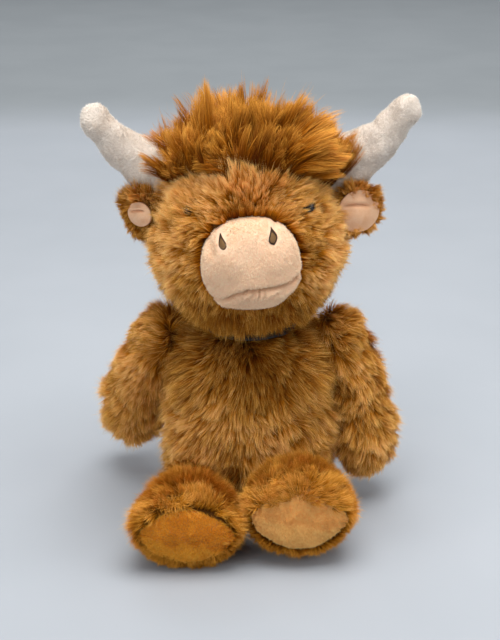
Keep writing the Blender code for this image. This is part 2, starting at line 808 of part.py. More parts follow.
def make_ears(middle, outside_mesh):
    """Each ear is a cupped pile back with a velour lining, hinged along the seam on the head."""
    clear = form_mesh(
        "ear_clearance",
        offset_rows(head_rows(HEAD_NECK_OPENING), RUNNING_GAP),
        straight(UP, ACROSS, FORWARD),
        BODY_SIDES,
    )
    cutter = add_object("ear_clearance", clear, middle, cutter=True)
    for side, sign in SIDES.items():
        start = Vector((sign * RAY_START, EAR_BACK, EAR_RISE))
        place, _ = surface_hit(outside_mesh, start, -ACROSS * sign)
        turn = Matrix.Rotation(sign * EAR_TURN[side], 4, "Z") @ Matrix.Rotation(sign * EAR_DROOP, 4, "Y")
        axis = empty(f"ear_{side}_axis", middle, place, turn)
        along = straight(FORWARD, ACROSS, UP)
        reach = ACROSS * sign * EAR_REACH
        back = form_mesh(f"ear_back_{side}", bowl_rows(EAR_RADIUS, EAR_BOWL_RADIUS), along, LIMB_SIDES)
        back.transform(Matrix.Translation(reach))
        ear = add_object(f"ear_back_{side}", back, axis, "pile")
        thick = ear.modifiers.new("Cloth", "SOLIDIFY")
        thick.thickness = EAR_THICKNESS
        thick.offset = 0
        thick.use_rim = True
        inside = EAR_BOWL_RADIUS - (EAR_THICKNESS + EAR_LINING_THICKNESS) / 2 - 2 * GAP
        inner_rows = bowl_rows(EAR_LINING_RADIUS, inside)
        lining = form_mesh(f"ear_lining_{side}", inner_rows, along, LIMB_SIDES)
        lining.transform(Matrix.Translation(reach))
        lined = add_object(f"ear_lining_{side}", lining, axis, "nose")
        thin = lined.modifiers.new("Cloth", "SOLIDIFY")
        thin.thickness = EAR_LINING_THICKNESS
        thin.offset = 0
        thin.use_rim = True
        add_boolean(ear, cutter)
        add_boolean(lined, cutter)


def arm_rows():
    root = ball_rows(ARM_ROOT_RADIUS, 0, ROOT_TURN, ROOT_STEPS)
    root[0] = (root[0][0], 0, 0, 0)
    body = [
        (share * ARM_LENGTH, wide * ARM_RADIUS * ARM_FLATNESS_SHARE, wide * ARM_RADIUS, 0)
        for share, wide in ARM_SHARES
    ]
    return root + body


def arm_turn(side):
    """Local -Z leaves the shoulder, outwards by the splay and back by the swing."""
    sign = SIDES[side]
    splay = Matrix.Rotation(-sign * ARM_SPLAY[side], 4, "Y")
    swing = Matrix.Rotation(ARM_BACKWARD[side], 4, "X")
    return swing @ splay


def arm_place(sign):
    """A place along the arm, which leaves the shoulder outwards and sags back to hang."""
    radius = ARM_LENGTH / ARM_BEND

    def place(along):
        angle = max(along, 0) / radius
        across = Vector((math.cos(angle), 0, -sign * math.sin(angle)))
        if along <= 0:
            return -UP * along, across, FORWARD
        return Vector((-sign * radius * (1 - math.cos(angle)), 0, -radius * math.sin(angle))), across, FORWARD

    return place


def make_arms(root):
    """Each arm swells towards the hand. Its round root lies in a dent of the trunk and opens into it."""
    dents = []
    for side, sign in SIDES.items():
        pivot = Vector((sign * SHOULDER_SPACING / 2, SHOULDER_BACK, SHOULDER_HEIGHT))
        axis = empty(f"arm_{side}_axis", root, pivot, arm_turn(side))
        place = arm_place(sign)
        cover = add_object(
            f"arm_cover_{side}", form_mesh(f"arm_cover_{side}", arm_rows(), place, LIMB_SIDES), axis, "pile"
        )
        add_solidify(cover, PILE)
        reach = ARM_ROOT_RADIUS + CUT_OVERRUN
        mouth_mesh = cylinder_mesh("arm_mouth", ARM_MOUTH_RADIUS, 0, reach, LIMB_SIDES)
        mouth = add_object(f"arm_mouth_{side}", mouth_mesh, root, cutter=True)
        mouth.matrix_local = Matrix.Translation(pivot) @ facing(-ACROSS * sign)
        add_boolean(cover, mouth)
        inner = offset_rows(arm_rows(), -(PILE + STUFFING_GAP))
        add_object(
            f"arm_filling_{side}",
            form_mesh(f"arm_filling_{side}", inner, place, SMALL_SIDES),
            axis,
            "stuffing",
        )
        dents.append(
            add_object(f"arm_dent_{side}", sphere_mesh("arm_dent", ARM_ROOT_RADIUS + GAP), axis, cutter=True)
        )
    return dents


def leg_rows():
    rows = ball_rows(LEG_ROOT_RADIUS, ROOT_MOUTH, ROOT_TURN, ROOT_STEPS)
    body = [
        (share * LEG_LENGTH, wide * FOOT_HALF_WIDTH, high * FOOT_HALF_HEIGHT, 0)
        for share, wide, high in LEG_SHARES
    ]
    return rows + body


def sole_place(tilt):
    """Sections stay square to the leg at its root and lean to the sole's tilt at its end."""

    def place(along):
        share = min(max(along / LEG_LENGTH, 0), 1)
        lean = tilt * share**2
        up = Vector((0, math.sin(lean), math.cos(lean)))
        return FORWARD * along, ACROSS, up

    return place


def pad_mesh(name, wide, high, place, crown, thickness):
    """The sole is a crowned almond: two arcs that meet in a corner on each side.

    It closes the cover's sloping mouth, with its corners on the mouth's rim.
    """
    bm = bmesh.new()
    centre, across, up = place(LEG_LENGTH)
    out = across.cross(up)
    if out.dot(FORWARD) < 0:
        out = -out
    sides = BODY_SIDES
    layers = []
    for base, lift in ((thickness - GAP, crown), (-GAP, crown)):
        rows = [[bm.verts.new(centre + out * (base + lift))]]
        for ring in range(1, PAD_RINGS + 1):
            share = ring / PAD_RINGS
            row = []
            for k in range(sides):
                angle = math.tau * k / sides
                u = math.cos(angle)
                v = math.copysign(abs(math.sin(angle)) ** PAD_POINTEDNESS, math.sin(angle))
                rise = base + lift * (1 - share**2)
                point = centre + across * wide * share * u + up * high * share * v + out * rise
                row.append(bm.verts.new(point))
            rows.append(row)
        layers.append(rows)
    for rows in layers:
        for inner, outer in zip(rows, rows[1:]):
            for k in range(sides):
                n = (k + 1) % sides
                corners = [inner[k % len(inner)], inner[n % len(inner)], outer[n], outer[k]]
                bm.faces.new(list(dict.fromkeys(corners)))
    for k in range(sides):
        n = (k + 1) % sides
        bm.faces.new([layers[0][-1][k], layers[0][-1][n], layers[1][-1][n], layers[1][-1][k]])
    bmesh.ops.recalc_face_normals(bm, faces=bm.faces)
    return mesh_of(bm, name)


def make_legs(root, floor_cutter):
    """Each leg swells into a foot, and the velour sole closes the foot's open end."""
    dents = []
    for side, sign in SIDES.items():
        pivot = Vector((sign * HIP_OUT[side], -HIP_FORWARD[side], HIP_HEIGHT))
        axis = empty(f"leg_{side}_axis", root, pivot, Matrix.Rotation(-LEG_PITCH[side], 4, "X"))
        place = sole_place(SOLE_TILT[side])
        rows = leg_rows()
        cover = add_object(
            f"leg_cover_{side}", form_mesh(f"leg_cover_{side}", rows, place, LIMB_SIDES), axis, "pile"
        )
        add_solidify(cover, PILE)
        add_boolean(cover, floor_cutter)
        inner = offset_rows(rows, -(PILE + STUFFING_GAP))
        end = LEG_LENGTH - GAP
        inner = [row for row in inner if row[0] < end - PILE]
        inset = PILE + STUFFING_GAP + NAP
        mouth = (end, rows[-1][1] - inset, rows[-1][2] - inset, 0)
        inner = [(inner[0][0], 0, 0, 0), *inner, mouth, (end, 0, 0, 0)]
        add_object(
            f"leg_filling_{side}",
            form_mesh(f"leg_filling_{side}", inner, place, SMALL_SIDES),
            axis,
            "stuffing",
        )
        wide = rows[-1][1] - PAD_SETBACK
        high = rows[-1][2] - PAD_SETBACK
        pad = pad_mesh(f"sole_pad_{side}", wide, high, place, PAD_CROWN, PAD_THICKNESS)
        add_object(f"sole_pad_{side}", pad, axis, "sole")
        dents.append(
            add_object(f"leg_dent_{side}", sphere_mesh("leg_dent", LEG_ROOT_RADIUS + GAP), axis, cutter=True)
        )
    return dents


def make_tail(root, torso):
    """A cord with a tuft of pile hangs from the seam at the back."""
    start = Vector((0, RAY_START, TAIL_HEIGHT))
    place, normal = surface_hit(torso.data, start, FORWARD)
    lift = Matrix.Rotation(TAIL_LIFT, 4, "X")
    axis = empty("tail_axis", root, place - FORWARD * (TAIL_RADIUS + GAP * 2), lift)
    down = straight(-UP, ACROSS, FORWARD)
    cord_rows = [(-TAIL_RADIUS, 0, 0, 0), *ball_rows(TAIL_RADIUS, ROOT_MOUTH, math.pi / 2, ROOT_STEPS)]
    cord_rows += [
        (TAIL_CORD_LENGTH, TAIL_RADIUS, TAIL_RADIUS, 0),
        (TAIL_CORD_LENGTH, 0, 0, 0),
    ]
    add_object("tail_cord", form_mesh("tail_cord", cord_rows, down, SMALL_SIDES), axis, "pile")
    first = TAIL_CORD_LENGTH + GAP
    tuft_rows = [(first, 0, 0, 0), (first, TAIL_RADIUS, TAIL_RADIUS, 0)]
    for share, wide in TAIL_TUFT_SHARES:
        tuft_rows.append(
            (first + share * TAIL_TUFT_LENGTH, wide * TAIL_TUFT_RADIUS, wide * TAIL_TUFT_RADIUS, 0)
        )
    tuft_rows.append((first + TAIL_TUFT_LENGTH, 0, 0, 0))
    add_object("tail_tuft", form_mesh("tail_tuft", tuft_rows, down, SMALL_SIDES), axis, "mane")


def floor_mesh():
    """A block below the floor, which trims what would reach under it."""
    bm = bmesh.new()
    bmesh.ops.create_cube(bm, size=1)
    bmesh.ops.scale(bm, vec=(FLOOR_REACH, FLOOR_REACH, CUT_OVERRUN), verts=bm.verts)
    bmesh.ops.translate(bm, vec=-UP * CUT_OVERRUN / 2, verts=bm.verts)
    return mesh_of(bm, "floor")


def stand_on_origin(root):
    """Moves the whole cow so that the middle of its outline in plan is the origin."""
    bpy.context.view_layer.update()
    graph = bpy.context.evaluated_depsgraph_get()
    xs, ys = [], []
    for obj in WORK["parts"].objects:
        if obj.type != "MESH":
            continue
        for corner in obj.evaluated_get(graph).data.vertices:
            place = obj.matrix_world @ corner.co
            xs.append(place.x)
            ys.append(place.y)
    root.location = (-(min(xs) + max(xs)) / 2, -(min(ys) + max(ys)) / 2, 0)
    bpy.context.view_layer.update()


def print_joints():
    """Says where each joint lies in the world."""
    for obj in WORK["parts"].objects:
        if obj.name.endswith("_axis"):
            place = obj.matrix_world.translation
            print("joint", obj.name, " ".join(f"{value:.5f}" for value in place))
    slant = ARM_HINGE_SLANT
    for side, sign in SIDES.items():
        print(f"arm_{side} hinge", f"{-math.cos(slant):.5f} 0 {sign * math.sin(slant):.5f}")


def build():
    clear_scene()
    WORK["parts"] = new_collection("plush_cow")
    WORK["cutters"] = new_collection("cutters")
    WORK["materials"] = make_materials()
    root = empty("cow", None)
    floor = add_object("floor", floor_mesh(), root, cutter=True)
    neck = make_neck(root)
    neck_dent = add_object("neck_dent", sphere_mesh("neck_dent", NECK_BALL_RADIUS + GAP), neck, cutter=True)
    arm_dents = make_arms(root)
    leg_dents = make_legs(root, floor)
    torso = make_torso(root, [neck_dent, *arm_dents, *leg_dents])
    pose = Matrix.Rotation(HEAD_TURN, 4, "Z") @ Matrix.Rotation(-HEAD_ROLL, 4, "Y")
    head = empty("head_nod_axis", neck, turn=pose)
    middle, cover, filling, outside = make_head(head, neck_dent)
    nose, muzzle_mesh, muzzle_outside = make_muzzle(middle, cover, filling)
    make_nose_details(nose, muzzle_mesh, muzzle_outside)
    make_eyes(middle, cover, filling)
    horns = make_horns(middle, [cover, filling])
    make_mane(middle, outside, [sweep for _, sweep in horns.values()])
    make_ears(middle, outside)
    make_tail(root, torso)
    stand_on_origin(root)
    print_joints()


WORK = {}
build()
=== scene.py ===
"""Looks of the seated long-pile plush cow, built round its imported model.

Metres, +Z up, in the model's own frame. The cow faces -Y and its own left is +X.
Each furred piece is a backing, sunk under the outline of its solid, and strands that grow from it.
"""

import json
import math

import bpy
import numpy as np
from mathutils import Matrix, Vector
from mathutils.kdtree import KDTree


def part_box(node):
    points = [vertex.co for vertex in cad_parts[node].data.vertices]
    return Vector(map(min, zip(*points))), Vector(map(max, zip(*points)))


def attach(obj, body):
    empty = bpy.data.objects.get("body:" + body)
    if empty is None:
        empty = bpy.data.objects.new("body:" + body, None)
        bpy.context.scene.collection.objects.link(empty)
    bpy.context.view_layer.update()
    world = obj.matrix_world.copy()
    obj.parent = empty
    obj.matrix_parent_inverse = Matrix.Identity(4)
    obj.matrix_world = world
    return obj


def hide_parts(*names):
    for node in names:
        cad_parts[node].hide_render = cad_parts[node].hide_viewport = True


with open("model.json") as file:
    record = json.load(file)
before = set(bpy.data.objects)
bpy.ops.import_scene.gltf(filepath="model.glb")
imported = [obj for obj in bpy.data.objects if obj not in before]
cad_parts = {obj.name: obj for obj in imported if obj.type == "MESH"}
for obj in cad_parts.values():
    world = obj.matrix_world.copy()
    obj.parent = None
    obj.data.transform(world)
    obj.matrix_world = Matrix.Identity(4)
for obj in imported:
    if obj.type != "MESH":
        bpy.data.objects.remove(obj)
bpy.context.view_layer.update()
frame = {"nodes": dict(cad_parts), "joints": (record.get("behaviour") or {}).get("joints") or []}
DENSITY = 1.0

# Sizes repeated from the solids
TORSO_HEIGHT = 0.1170
TORSO_HALF_WIDTH = 0.0475
TORSO_HALF_DEPTH = 0.0400
TORSO_SQUARENESS = 2.3
TORSO_SHARES = (
    (0.00, 0.66, 0.52, 0.14),
    (0.03, 0.78, 0.66, 0.13),
    (0.12, 0.93, 0.84, 0.07),
    (0.28, 1.00, 0.97, 0.01),
    (0.46, 1.00, 1.00, 0.00),
    (0.64, 0.94, 0.95, 0.00),
    (0.80, 0.87, 0.88, 0.00),
    (0.90, 0.79, 0.78, 0.00),
    (0.96, 0.60, 0.65, 0.00),
    (1.00, 0.38, 0.46, 0.00),
)
NECK_BALL_RADIUS = 0.0170
RIBBON_RADIUS = 0.0255
RIBBON_WIDTH = 0.0062
RIBBON_THICKNESS = 0.0010
RIBBON_SLOPE = math.radians(46)
RIBBON_DROP = 0.0057
HEAD_RISE = 0.0515
HEAD_FORWARD = 0.0080
HEAD_HALF = (0.0550, 0.0500, 0.0520)
HEAD_ROLL = math.radians(1.5)
HEAD_TURN = math.radians(1.5)
CHEEK_SHARE = 0.090
MUZZLE_HALF_WIDTH = 0.0268
MUZZLE_HALF_HEIGHT = 0.0243
MUZZLE_RISE = 0.0030
MUZZLE_FRONT = 0.0700
MUZZLE_DEPTH = 0.0340
MUZZLE_PITCH = math.radians(4)
MUZZLE_ROLL = math.radians(-5.5)
MUZZLE_SQUARENESS = 2.15
MUZZLE_SHARES = (
    (0.00, 0.97),
    (0.22, 0.99),
    (0.42, 1.00),
    (0.58, 0.97),
    (0.72, 0.88),
    (0.84, 0.73),
    (0.93, 0.52),
    (0.98, 0.27),
    (1.00, 0.01),
)
NOSTRIL_SPACING = 0.0272
NOSTRIL_RISE = 0.0185
NOSTRIL_LEAN = math.radians(-22)
HORN_ROOT_RADIUS = 0.0145
HORN_TIP_RADIUS = 0.0088
HORN_LENGTH = 0.0655
HORN_START_ANGLE = math.radians(18)
HORN_END_ANGLE = math.radians(62)
EAR_RADIUS = 0.0145
EAR_LINING_RADIUS = 0.0120
EAR_BOWL_RADIUS = 0.0260
EAR_REACH = 0.0142
EAR_TURN = {"left": math.radians(14), "right": math.radians(36)}
EAR_DROOP = math.radians(8)
ARM_ROOT_RADIUS = 0.0168
ARM_LENGTH = 0.0940
ARM_RADIUS = 0.0182
ARM_SHARES = (
    (0.14, 0.90),
    (0.32, 0.92),
    (0.52, 0.96),
    (0.68, 1.00),
    (0.80, 0.99),
    (0.89, 0.86),
    (0.955, 0.62),
    (0.988, 0.34),
    (1.00, 0.02),
)
ARM_FLATNESS_SHARE = 0.94
ARM_SPLAY = {"left": math.radians(22), "right": math.radians(24)}
ARM_BACKWARD = {"left": math.radians(-2), "right": math.radians(24)}
ARM_BEND = math.radians(20)
LEG_PITCH = {"left": math.radians(7), "right": math.radians(-1)}
LEG_ROOT_RADIUS = 0.0180
LEG_LENGTH = 0.0600
FOOT_HALF_WIDTH = 0.0310
FOOT_HALF_HEIGHT = 0.0258
LEG_SHARES = (
    (0.16, 0.50, 0.56),
    (0.36, 0.60, 0.70),
    (0.56, 0.84, 0.90),
    (0.72, 0.97, 1.00),
    (0.86, 1.00, 1.00),
    (0.95, 0.99, 0.94),
    (1.00, 0.97, 0.80),
)
SOLE_TILT = {"left": math.radians(5), "right": math.radians(-7)}
PAD_THICKNESS = 0.0024
PAD_CROWN = 0.0042
PAD_SETBACK = 0.0032
PAD_POINTEDNESS = 1.25
TAIL_RADIUS = 0.0030
TAIL_CORD_LENGTH = 0.0260
TAIL_TUFT_RADIUS = 0.0066
TAIL_TUFT_LENGTH = 0.0180
TAIL_LIFT = math.radians(12)

# Depths of the backings under the outlines of their solids, and of velour under its nap
BED = 0.0050
TORSO_BED = 0.0026
ARM_BED = 0.0034
LEG_BED = BED - 0.0006
NAP_BED = 0.0006
# Clearances of backings and strands from the floor, and of the trunk's top from the neck
SEAT_LIFT = 0.0012
FLOOR_LIFT = 0.0004
COLLAR_DROP = 0.0030
# Where the looks leave the solids: the nose hangs lower, the horns' roots are fuller, the soles' corners
# are drawn in, and the right ear's lining is tucked smaller
NOSE_SAG = 0.0014
HORN_FLARE = 0.26
PAD_DRAWN = 0.22
EAR_TUCK = np.array([0.68, 1.0, 0.58])
EAR_TUCK_PLACE = np.array([0.0006, -0.0006, 0.0010])
# The mouth's thread, from the nose's outline, and how far out of an eye's bead the pile round it starts
MOUTH_DEPTH = 0.0036
SHOWN_THREAD_RADIUS = 0.0003
EYE_OUT = 0.0045
# The ears' linings and what differs from side to side
EAR_SWELL = 0.0056
EAR_FOLD = 0.0030
EAR_TUFT = {"left": 0, "right": 1}
EAR_TOP_LONGER = {"left": 0.0022, "right": 0.0050}
EAR_TONE = {"left": 0.46, "right": 0.30}
ARM_TONE = {"left": 0.44, "right": 0.56}
ARM_LINE_TONE = {"left": 0.20, "right": 0.06}
HAND_SHORTER = {"left": 0.0022, "right": 0}
# The left sole wears a paler, more golden copy of the right sole's velour: painted light on it
SOLE_MATERIALS = {"left": ("gold_sole", "gold_nap"), "right": ("sole", "sole_nap")}

# The topknot's patch of the head (middle x and y, half width and depth), its whorl, how high its backing
# lies, and how far each lock's form reaches to its neighbours
MANE_PATCH = (0.0020, 0.0060, 0.0440, 0.0345)
WHORL = (0.0090, -0.0255)
MANE_LIFT = 0.0006
MANE_BLEND = 0.0042

# Its locks, in millimetres from the middle of the head: root x and y, tip x, y and z, height of the arc
MANE_LOCKS = (
    (-33, -13, -52, -8, 70, 10),
    (-35, -9, -61, -10, 64, 8),
    (-35, -12, -54, -20, 51, 6),
    (-29, -18, -46, -18, 67, 12),
    (-25, -21, -38, -24, 69, 14),
    (-18, -24, -26, -26, 68, 12),
    (-10, -27, -36, -38, 44, 8),
    (-15, -26, -31, -36, 48, 9),
    (-22, -10, -31, 0, 76, 8),
    (-15, -14, -19, -4, 79, 8),
    (-9, -20, -12, -14, 75, 8),
    (-3, -18, -6, -8, 80, 8),
    (0, -26, -2, -22, 70, 9),
    (4, -12, 7, 0, 81, 6),
    (8, -16, 16, -4, 82, 6),
    (9, -25, 14, -22, 70, 9),
    (12, -14, 35, 0, 80, 10),
    (14, -19, 41, -8, 76, 12),
    (17, -23, 38, -22, 69, 13),
    (16, -17, 56, -10, 71, 12),
    (19, -20, 59, -15, 65, 13),
    (22, -22, 63, -16, 58, 12),
    (25, -22, 62, -21, 53, 11),
    (29, -21, 56, -26, 46, 8),
    (34, -17, 52, -26, 41, 5),
    (38, -8, 64, -8, 58, 9),
    (32, 4, 56, 8, 68, 10),
    (20, 6, 34, 16, 76, 8),
    (5, 6, 8, 20, 80, 6),
    (-12, 6, -16, 20, 78, 6),
    (-26, 4, -42, 12, 72, 8),
    (-36, 6, -58, 14, 60, 8),
    (-30, 20, -48, 38, 46, 8),
    (-14, 24, -20, 44, 62, 8),
    (6, 26, 8, 48, 62, 8),
    (24, 22, 38, 40, 60, 8),
    (36, 12, 60, 26, 48, 8),
    (-22, 34, -30, 49, 26, 4),
    (0, 38, 0, 52, 24, 4),
    (22, 34, 30, 49, 26, 4),
    (-39, -6, -54, -27, 42, 9),
    (-38, -12, -50, -33, 36, 8),
    (-34, -17, -44, -38, 33, 7),
)

SIDES = {"left": 1, "right": -1}
UP = Vector((0, 0, 1))
FORWARD = Vector((0, -1, 0))
ACROSS = Vector((1, 0, 0))
DOWN = np.array([0.0, 0.0, -1.0])
MODEL = Matrix.Identity(4)

JOINTS = {joint["name"]: Vector(joint["pos_m"]) for joint in frame["joints"]}
NECK = JOINTS["head_turn"]
SHIFT = Vector((NECK.x, NECK.y, 0))
HEAD = (
    Matrix.Translation(NECK)
    @ Matrix.Rotation(HEAD_TURN, 4, "Z")
    @ Matrix.Rotation(-HEAD_ROLL, 4, "Y")
    @ Matrix.Translation((0, -HEAD_FORWARD, HEAD_RISE))
)
NOSE = (
    HEAD
    @ Matrix.Translation((0, 0, MUZZLE_RISE - NOSE_SAG))
    @ Matrix.Rotation(MUZZLE_ROLL, 4, "Y")
    @ Matrix.Rotation(MUZZLE_PITCH, 4, "X")
)
HEAD_POSE = HEAD.to_3x3().to_4x4()

# Camera: the focal length in pixels of the photo's frame gives the lens
PHOTO_HEIGHT = 640
FOCAL_PIXELS = 1330
SENSOR = 36
CAMERA_ELEVATION = math.radians(22)
CAMERA_DISTANCE = 0.80
CAMERA_AIM = Vector((0, 0, 0.115))

# Table: reach each way, where it turns from near to far, and the dim and bright colours of each. The far
# colours are darker: painted shade of the far table.
TABLE_REACH = 6.0
TABLE_TURNS = (0.86, 1.20)
TABLE_NEAR = (0.452, 0.487, 0.532), (0.470, 0.504, 0.550)
TABLE_FAR_SHADED = (0.315, 0.342, 0.362), (0.330, 0.357, 0.377)

# Lights: name, place, aim, size, power and colour
LIGHTS = (
    ("soft_top", (0.05, -0.12, 1.10), (0, 0, 0.10), (1.0, 0.8), 13.2, (1.0, 0.99, 0.97)),
    ("soft_front", (-0.75, -1.10, 0.75), (0, 0, 0.12), (0.8, 0.8), 4.5, (1.0, 0.99, 0.98)),
    ("soft_side", (1.0, -0.35, 0.65), (0, 0, 0.12), (0.7, 0.7), 2.4, (1.0, 0.98, 0.96)),
    ("far_table", (0, 1.50, 1.30), (0, 1.60, 0), (2.6, 1.2), 19.0, (1.0, 1.0, 1.0)),
)
WORLD_COLOUR = (0.93, 0.96, 1.0, 1)
WORLD_STRENGTH = 0.21


class Nodes:
    """A material's node tree, with short calls to make and join its nodes."""

    def __init__(self, name):
        self.material = bpy.data.materials.new(name)
        self.material.use_nodes = True
        self.tree = self.material.node_tree
        self.shader = self.tree.nodes["Principled BSDF"]
        self.place = None

    def set(self, **values):
        for name, value in values.items():
            self.shader.inputs[name.replace("_", " ")].default_value = value

    def add(self, kind, inputs=(), **settings):
        """A new node, with its inputs joined or set."""
        made = self.tree.nodes.new(kind)
        for name, value in settings.items():
            setattr(made, name, value)
        for name, source in dict(inputs).items():
            self.value(source, made.inputs[name])
        return made

    def join(self, source, target):
        self.tree.links.new(source, target)

    def where(self):
        """Place on the object."""
        if self.place is None:
            self.place = self.add("ShaderNodeTexCoord").outputs["Object"]
        return self.place

    def value(self, source, target):
        """Joins a socket, or sets a plain number."""
        if isinstance(source, (int, float, tuple)):
            target.default_value = source
        else:
            self.join(source, target)

    def math(self, operation, a, b=0.0, c=0.0, clamp=False):
        made = self.add("ShaderNodeMath", operation=operation, use_clamp=clamp)
        for k, source in enumerate((a, b, c)):
            self.value(source, made.inputs[k])
        return made.outputs[0]

    def mix(self, share, a, b, blend="MIX"):
        made = self.add("ShaderNodeMix", data_type="RGBA", blend_type=blend)
        self.value(share, made.inputs[0])
        self.value((*a, 1) if isinstance(a, tuple) else a, made.inputs[6])
        self.value((*b, 1) if isinstance(b, tuple) else b, made.inputs[7])
        return made.outputs[2]

    def noise(self, scale, detail=3.0, rough=0.5, distortion=0.0):
        inputs = {"Scale": scale, "Detail": detail, "Roughness": rough, "Distortion": distortion}
        return self.add("ShaderNodeTexNoise", {"Vector": self.where(), **inputs}).outputs["Fac"]

    def wave(self, place, direction, scale, distortion):
        inputs = {"Vector": place, "Scale": scale, "Distortion": distortion}
        made = self.add("ShaderNodeTexWave", inputs, wave_type="BANDS", bands_direction=direction)
        return made.outputs["Fac"]

    def ramp(self, source, *stops):
        made = self.add("ShaderNodeValToRGB")
        band = made.color_ramp
        while len(band.elements) < len(stops):
            band.elements.new(0.5)
        for element, (place, colour) in zip(band.elements, stops):
            element.position = place
            element.color = (*colour, 1) if isinstance(colour, tuple) else (colour, colour, colour, 1)
        self.join(source, made.inputs["Fac"])
        return made.outputs["Color"]

    def paint(self, colour):
        self.join(colour, self.shader.inputs["Base Color"])

    def bump(self, height, strength, distance, normal=None):
        made = self.add("ShaderNodeBump", {"Strength": strength, "Distance": distance, "Height": height})
        if normal:
            self.join(normal, made.inputs["Normal"])
        self.join(made.outputs["Normal"], self.shader.inputs["Normal"])
        return made.outputs["Normal"]


def strand_material(name, root, middle, tip, dark, light, roughness=0.70):
    """Colour runs from root to tip along v. Its tone runs from dark to light along u."""
    n = Nodes(name)
    uv = n.add("ShaderNodeUVMap", uv_map="OFBake")
    split = n.add("ShaderNodeSeparateXYZ", {"Vector": uv.outputs["UV"]})
    along = n.ramp(split.outputs["Y"], (0.0, root), (0.50, middle), (0.90, tip), (1.0, tip))
    tone = n.ramp(split.outputs["X"], (0.0, dark), (0.5, (1.0, 1.0, 1.0)), (1.0, light))
    n.paint(n.mix(1.0, along, tone, "MULTIPLY"))
    n.set(Roughness=roughness, Specular_IOR_Level=0.06)
    return n.material


def backing_material(name, low, high):
    """The knitted backing between the pile's roots."""
    n = Nodes(name)
    rough = n.noise(900, 4, 0.65)
    n.paint(n.ramp(rough, (0.3, low), (0.7, high)))
    n.bump(rough, 0.6, 0.0006)
    n.set(Roughness=0.95, Specular_IOR_Level=0.1)
    return n.material


def velour_material(name, low, middle, high):
    """Short dense nap: fine grains, brushed patches and a soft sheen."""
    n = Nodes(name)
    grain = n.noise(1900, 3, 0.7)
    brushed = n.noise(150, 3, 0.55, 0.6)
    patch = n.noise(34, 2, 0.5, 0.3)
    fine = n.math("MULTIPLY_ADD", grain, 0.34, n.math("MULTIPLY", brushed, 0.34))
    blend = n.math("MULTIPLY_ADD", patch, 0.34, fine)
    n.paint(n.ramp(blend, (0.38, low), (0.52, middle), (0.66, high)))
    normal = n.bump(brushed, 0.30, 0.0010)
    n.bump(grain, 0.45, 0.0004, normal)
    n.set(Roughness=0.88, Specular_IOR_Level=0.15, Sheen_Weight=0.25, Sheen_Roughness=0.4)
    return n.material


def thread_material(name, low, high):
    """Satin stitches: fine parallel lines of thread."""
    n = Nodes(name)
    stitches = n.wave(n.where(), "Z", 900, 1.5)
    n.paint(n.ramp(stitches, (0.2, low), (0.8, high)))
    n.bump(stitches, 0.7, 0.0003)
    n.set(Roughness=0.6, Specular_IOR_Level=0.3)
    return n.material


def ribbon_material():
    """Black satin ribbon with fine cross ribs."""
    n = Nodes("black_ribbon")
    ribs = n.wave(n.add("ShaderNodeTexCoord").outputs["UV"], "X", 90, 0.6)
    n.paint(n.ramp(ribs, (0.0, (0.006, 0.006, 0.007)), (1.0, (0.026, 0.026, 0.030))))
    n.bump(ribs, 0.5, 0.0002)
    n.set(Roughness=0.42, Specular_IOR_Level=0.4)
    return n.material


def eye_material():
    """Polished black plastic with a few faint scuffs."""
    n = Nodes("eye_gloss")
    scuff = n.noise(700, 2, 0.5)
    n.paint(n.ramp(scuff, (0.3, (0.006, 0.004, 0.003)), (0.8, (0.016, 0.010, 0.007))))
    n.join(n.ramp(scuff, (0.35, 0.06), (0.75, 0.14)), n.shader.inputs["Roughness"])
    n.set(Specular_IOR_Level=0.6)
    return n.material


# Colours of the strands from root to tip, and what the darkest and lightest ones are multiplied by
BODY_FUR = {
    "root": (0.085, 0.022, 0.001),
    "middle": (0.60, 0.195, 0.006),
    "tip": (1.0, 0.570, 0.120),
    "dark": (0.40, 0.26, 0.09),
    "light": (1.30, 1.52, 3.00),
}
LEG_FUR = dict(BODY_FUR, middle=(0.58, 0.215, 0.009), tip=(0.92, 0.450, 0.060))
MANE_FUR = {
    "root": (0.050, 0.010, 0.0005),
    "middle": (0.40, 0.115, 0.003),
    "tip": (0.82, 0.370, 0.050),
    "dark": (0.34, 0.25, 0.10),
    "light": (1.30, 1.50, 2.40),
}
HORN_NAP = {
    "root": (0.88, 0.79, 0.70),
    "middle": (0.98, 0.90, 0.82),
    "tip": (1.0, 0.95, 0.88),
    "dark": (0.80, 0.77, 0.75),
    "light": (1.04, 1.04, 1.04),
}
SOLE_NAP = {
    "root": (0.84, 0.300, 0.015),
    "middle": (0.98, 0.420, 0.030),
    "tip": (1.0, 0.560, 0.090),
    "dark": (0.80, 0.82, 0.90),
    "light": (1.08, 1.10, 1.05),
}
# The left sole's nap, a paler and more golden copy of SOLE_NAP: painted light
LIT_SOLE_NAP = {
    "root": (1.0, 0.500, 0.140),
    "middle": (1.0, 0.600, 0.200),
    "tip": (1.0, 0.690, 0.270),
    "dark": (0.86, 0.78, 0.62),
    "light": (1.08, 1.10, 1.05),
}
NOSE_NAP = {
    "root": (1.0, 0.69, 0.44),
    "middle": (1.0, 0.76, 0.52),
    "tip": (1.0, 0.84, 0.62),
    "dark": (0.88, 0.82, 0.80),
    "light": (1.0, 1.10, 1.22),
}


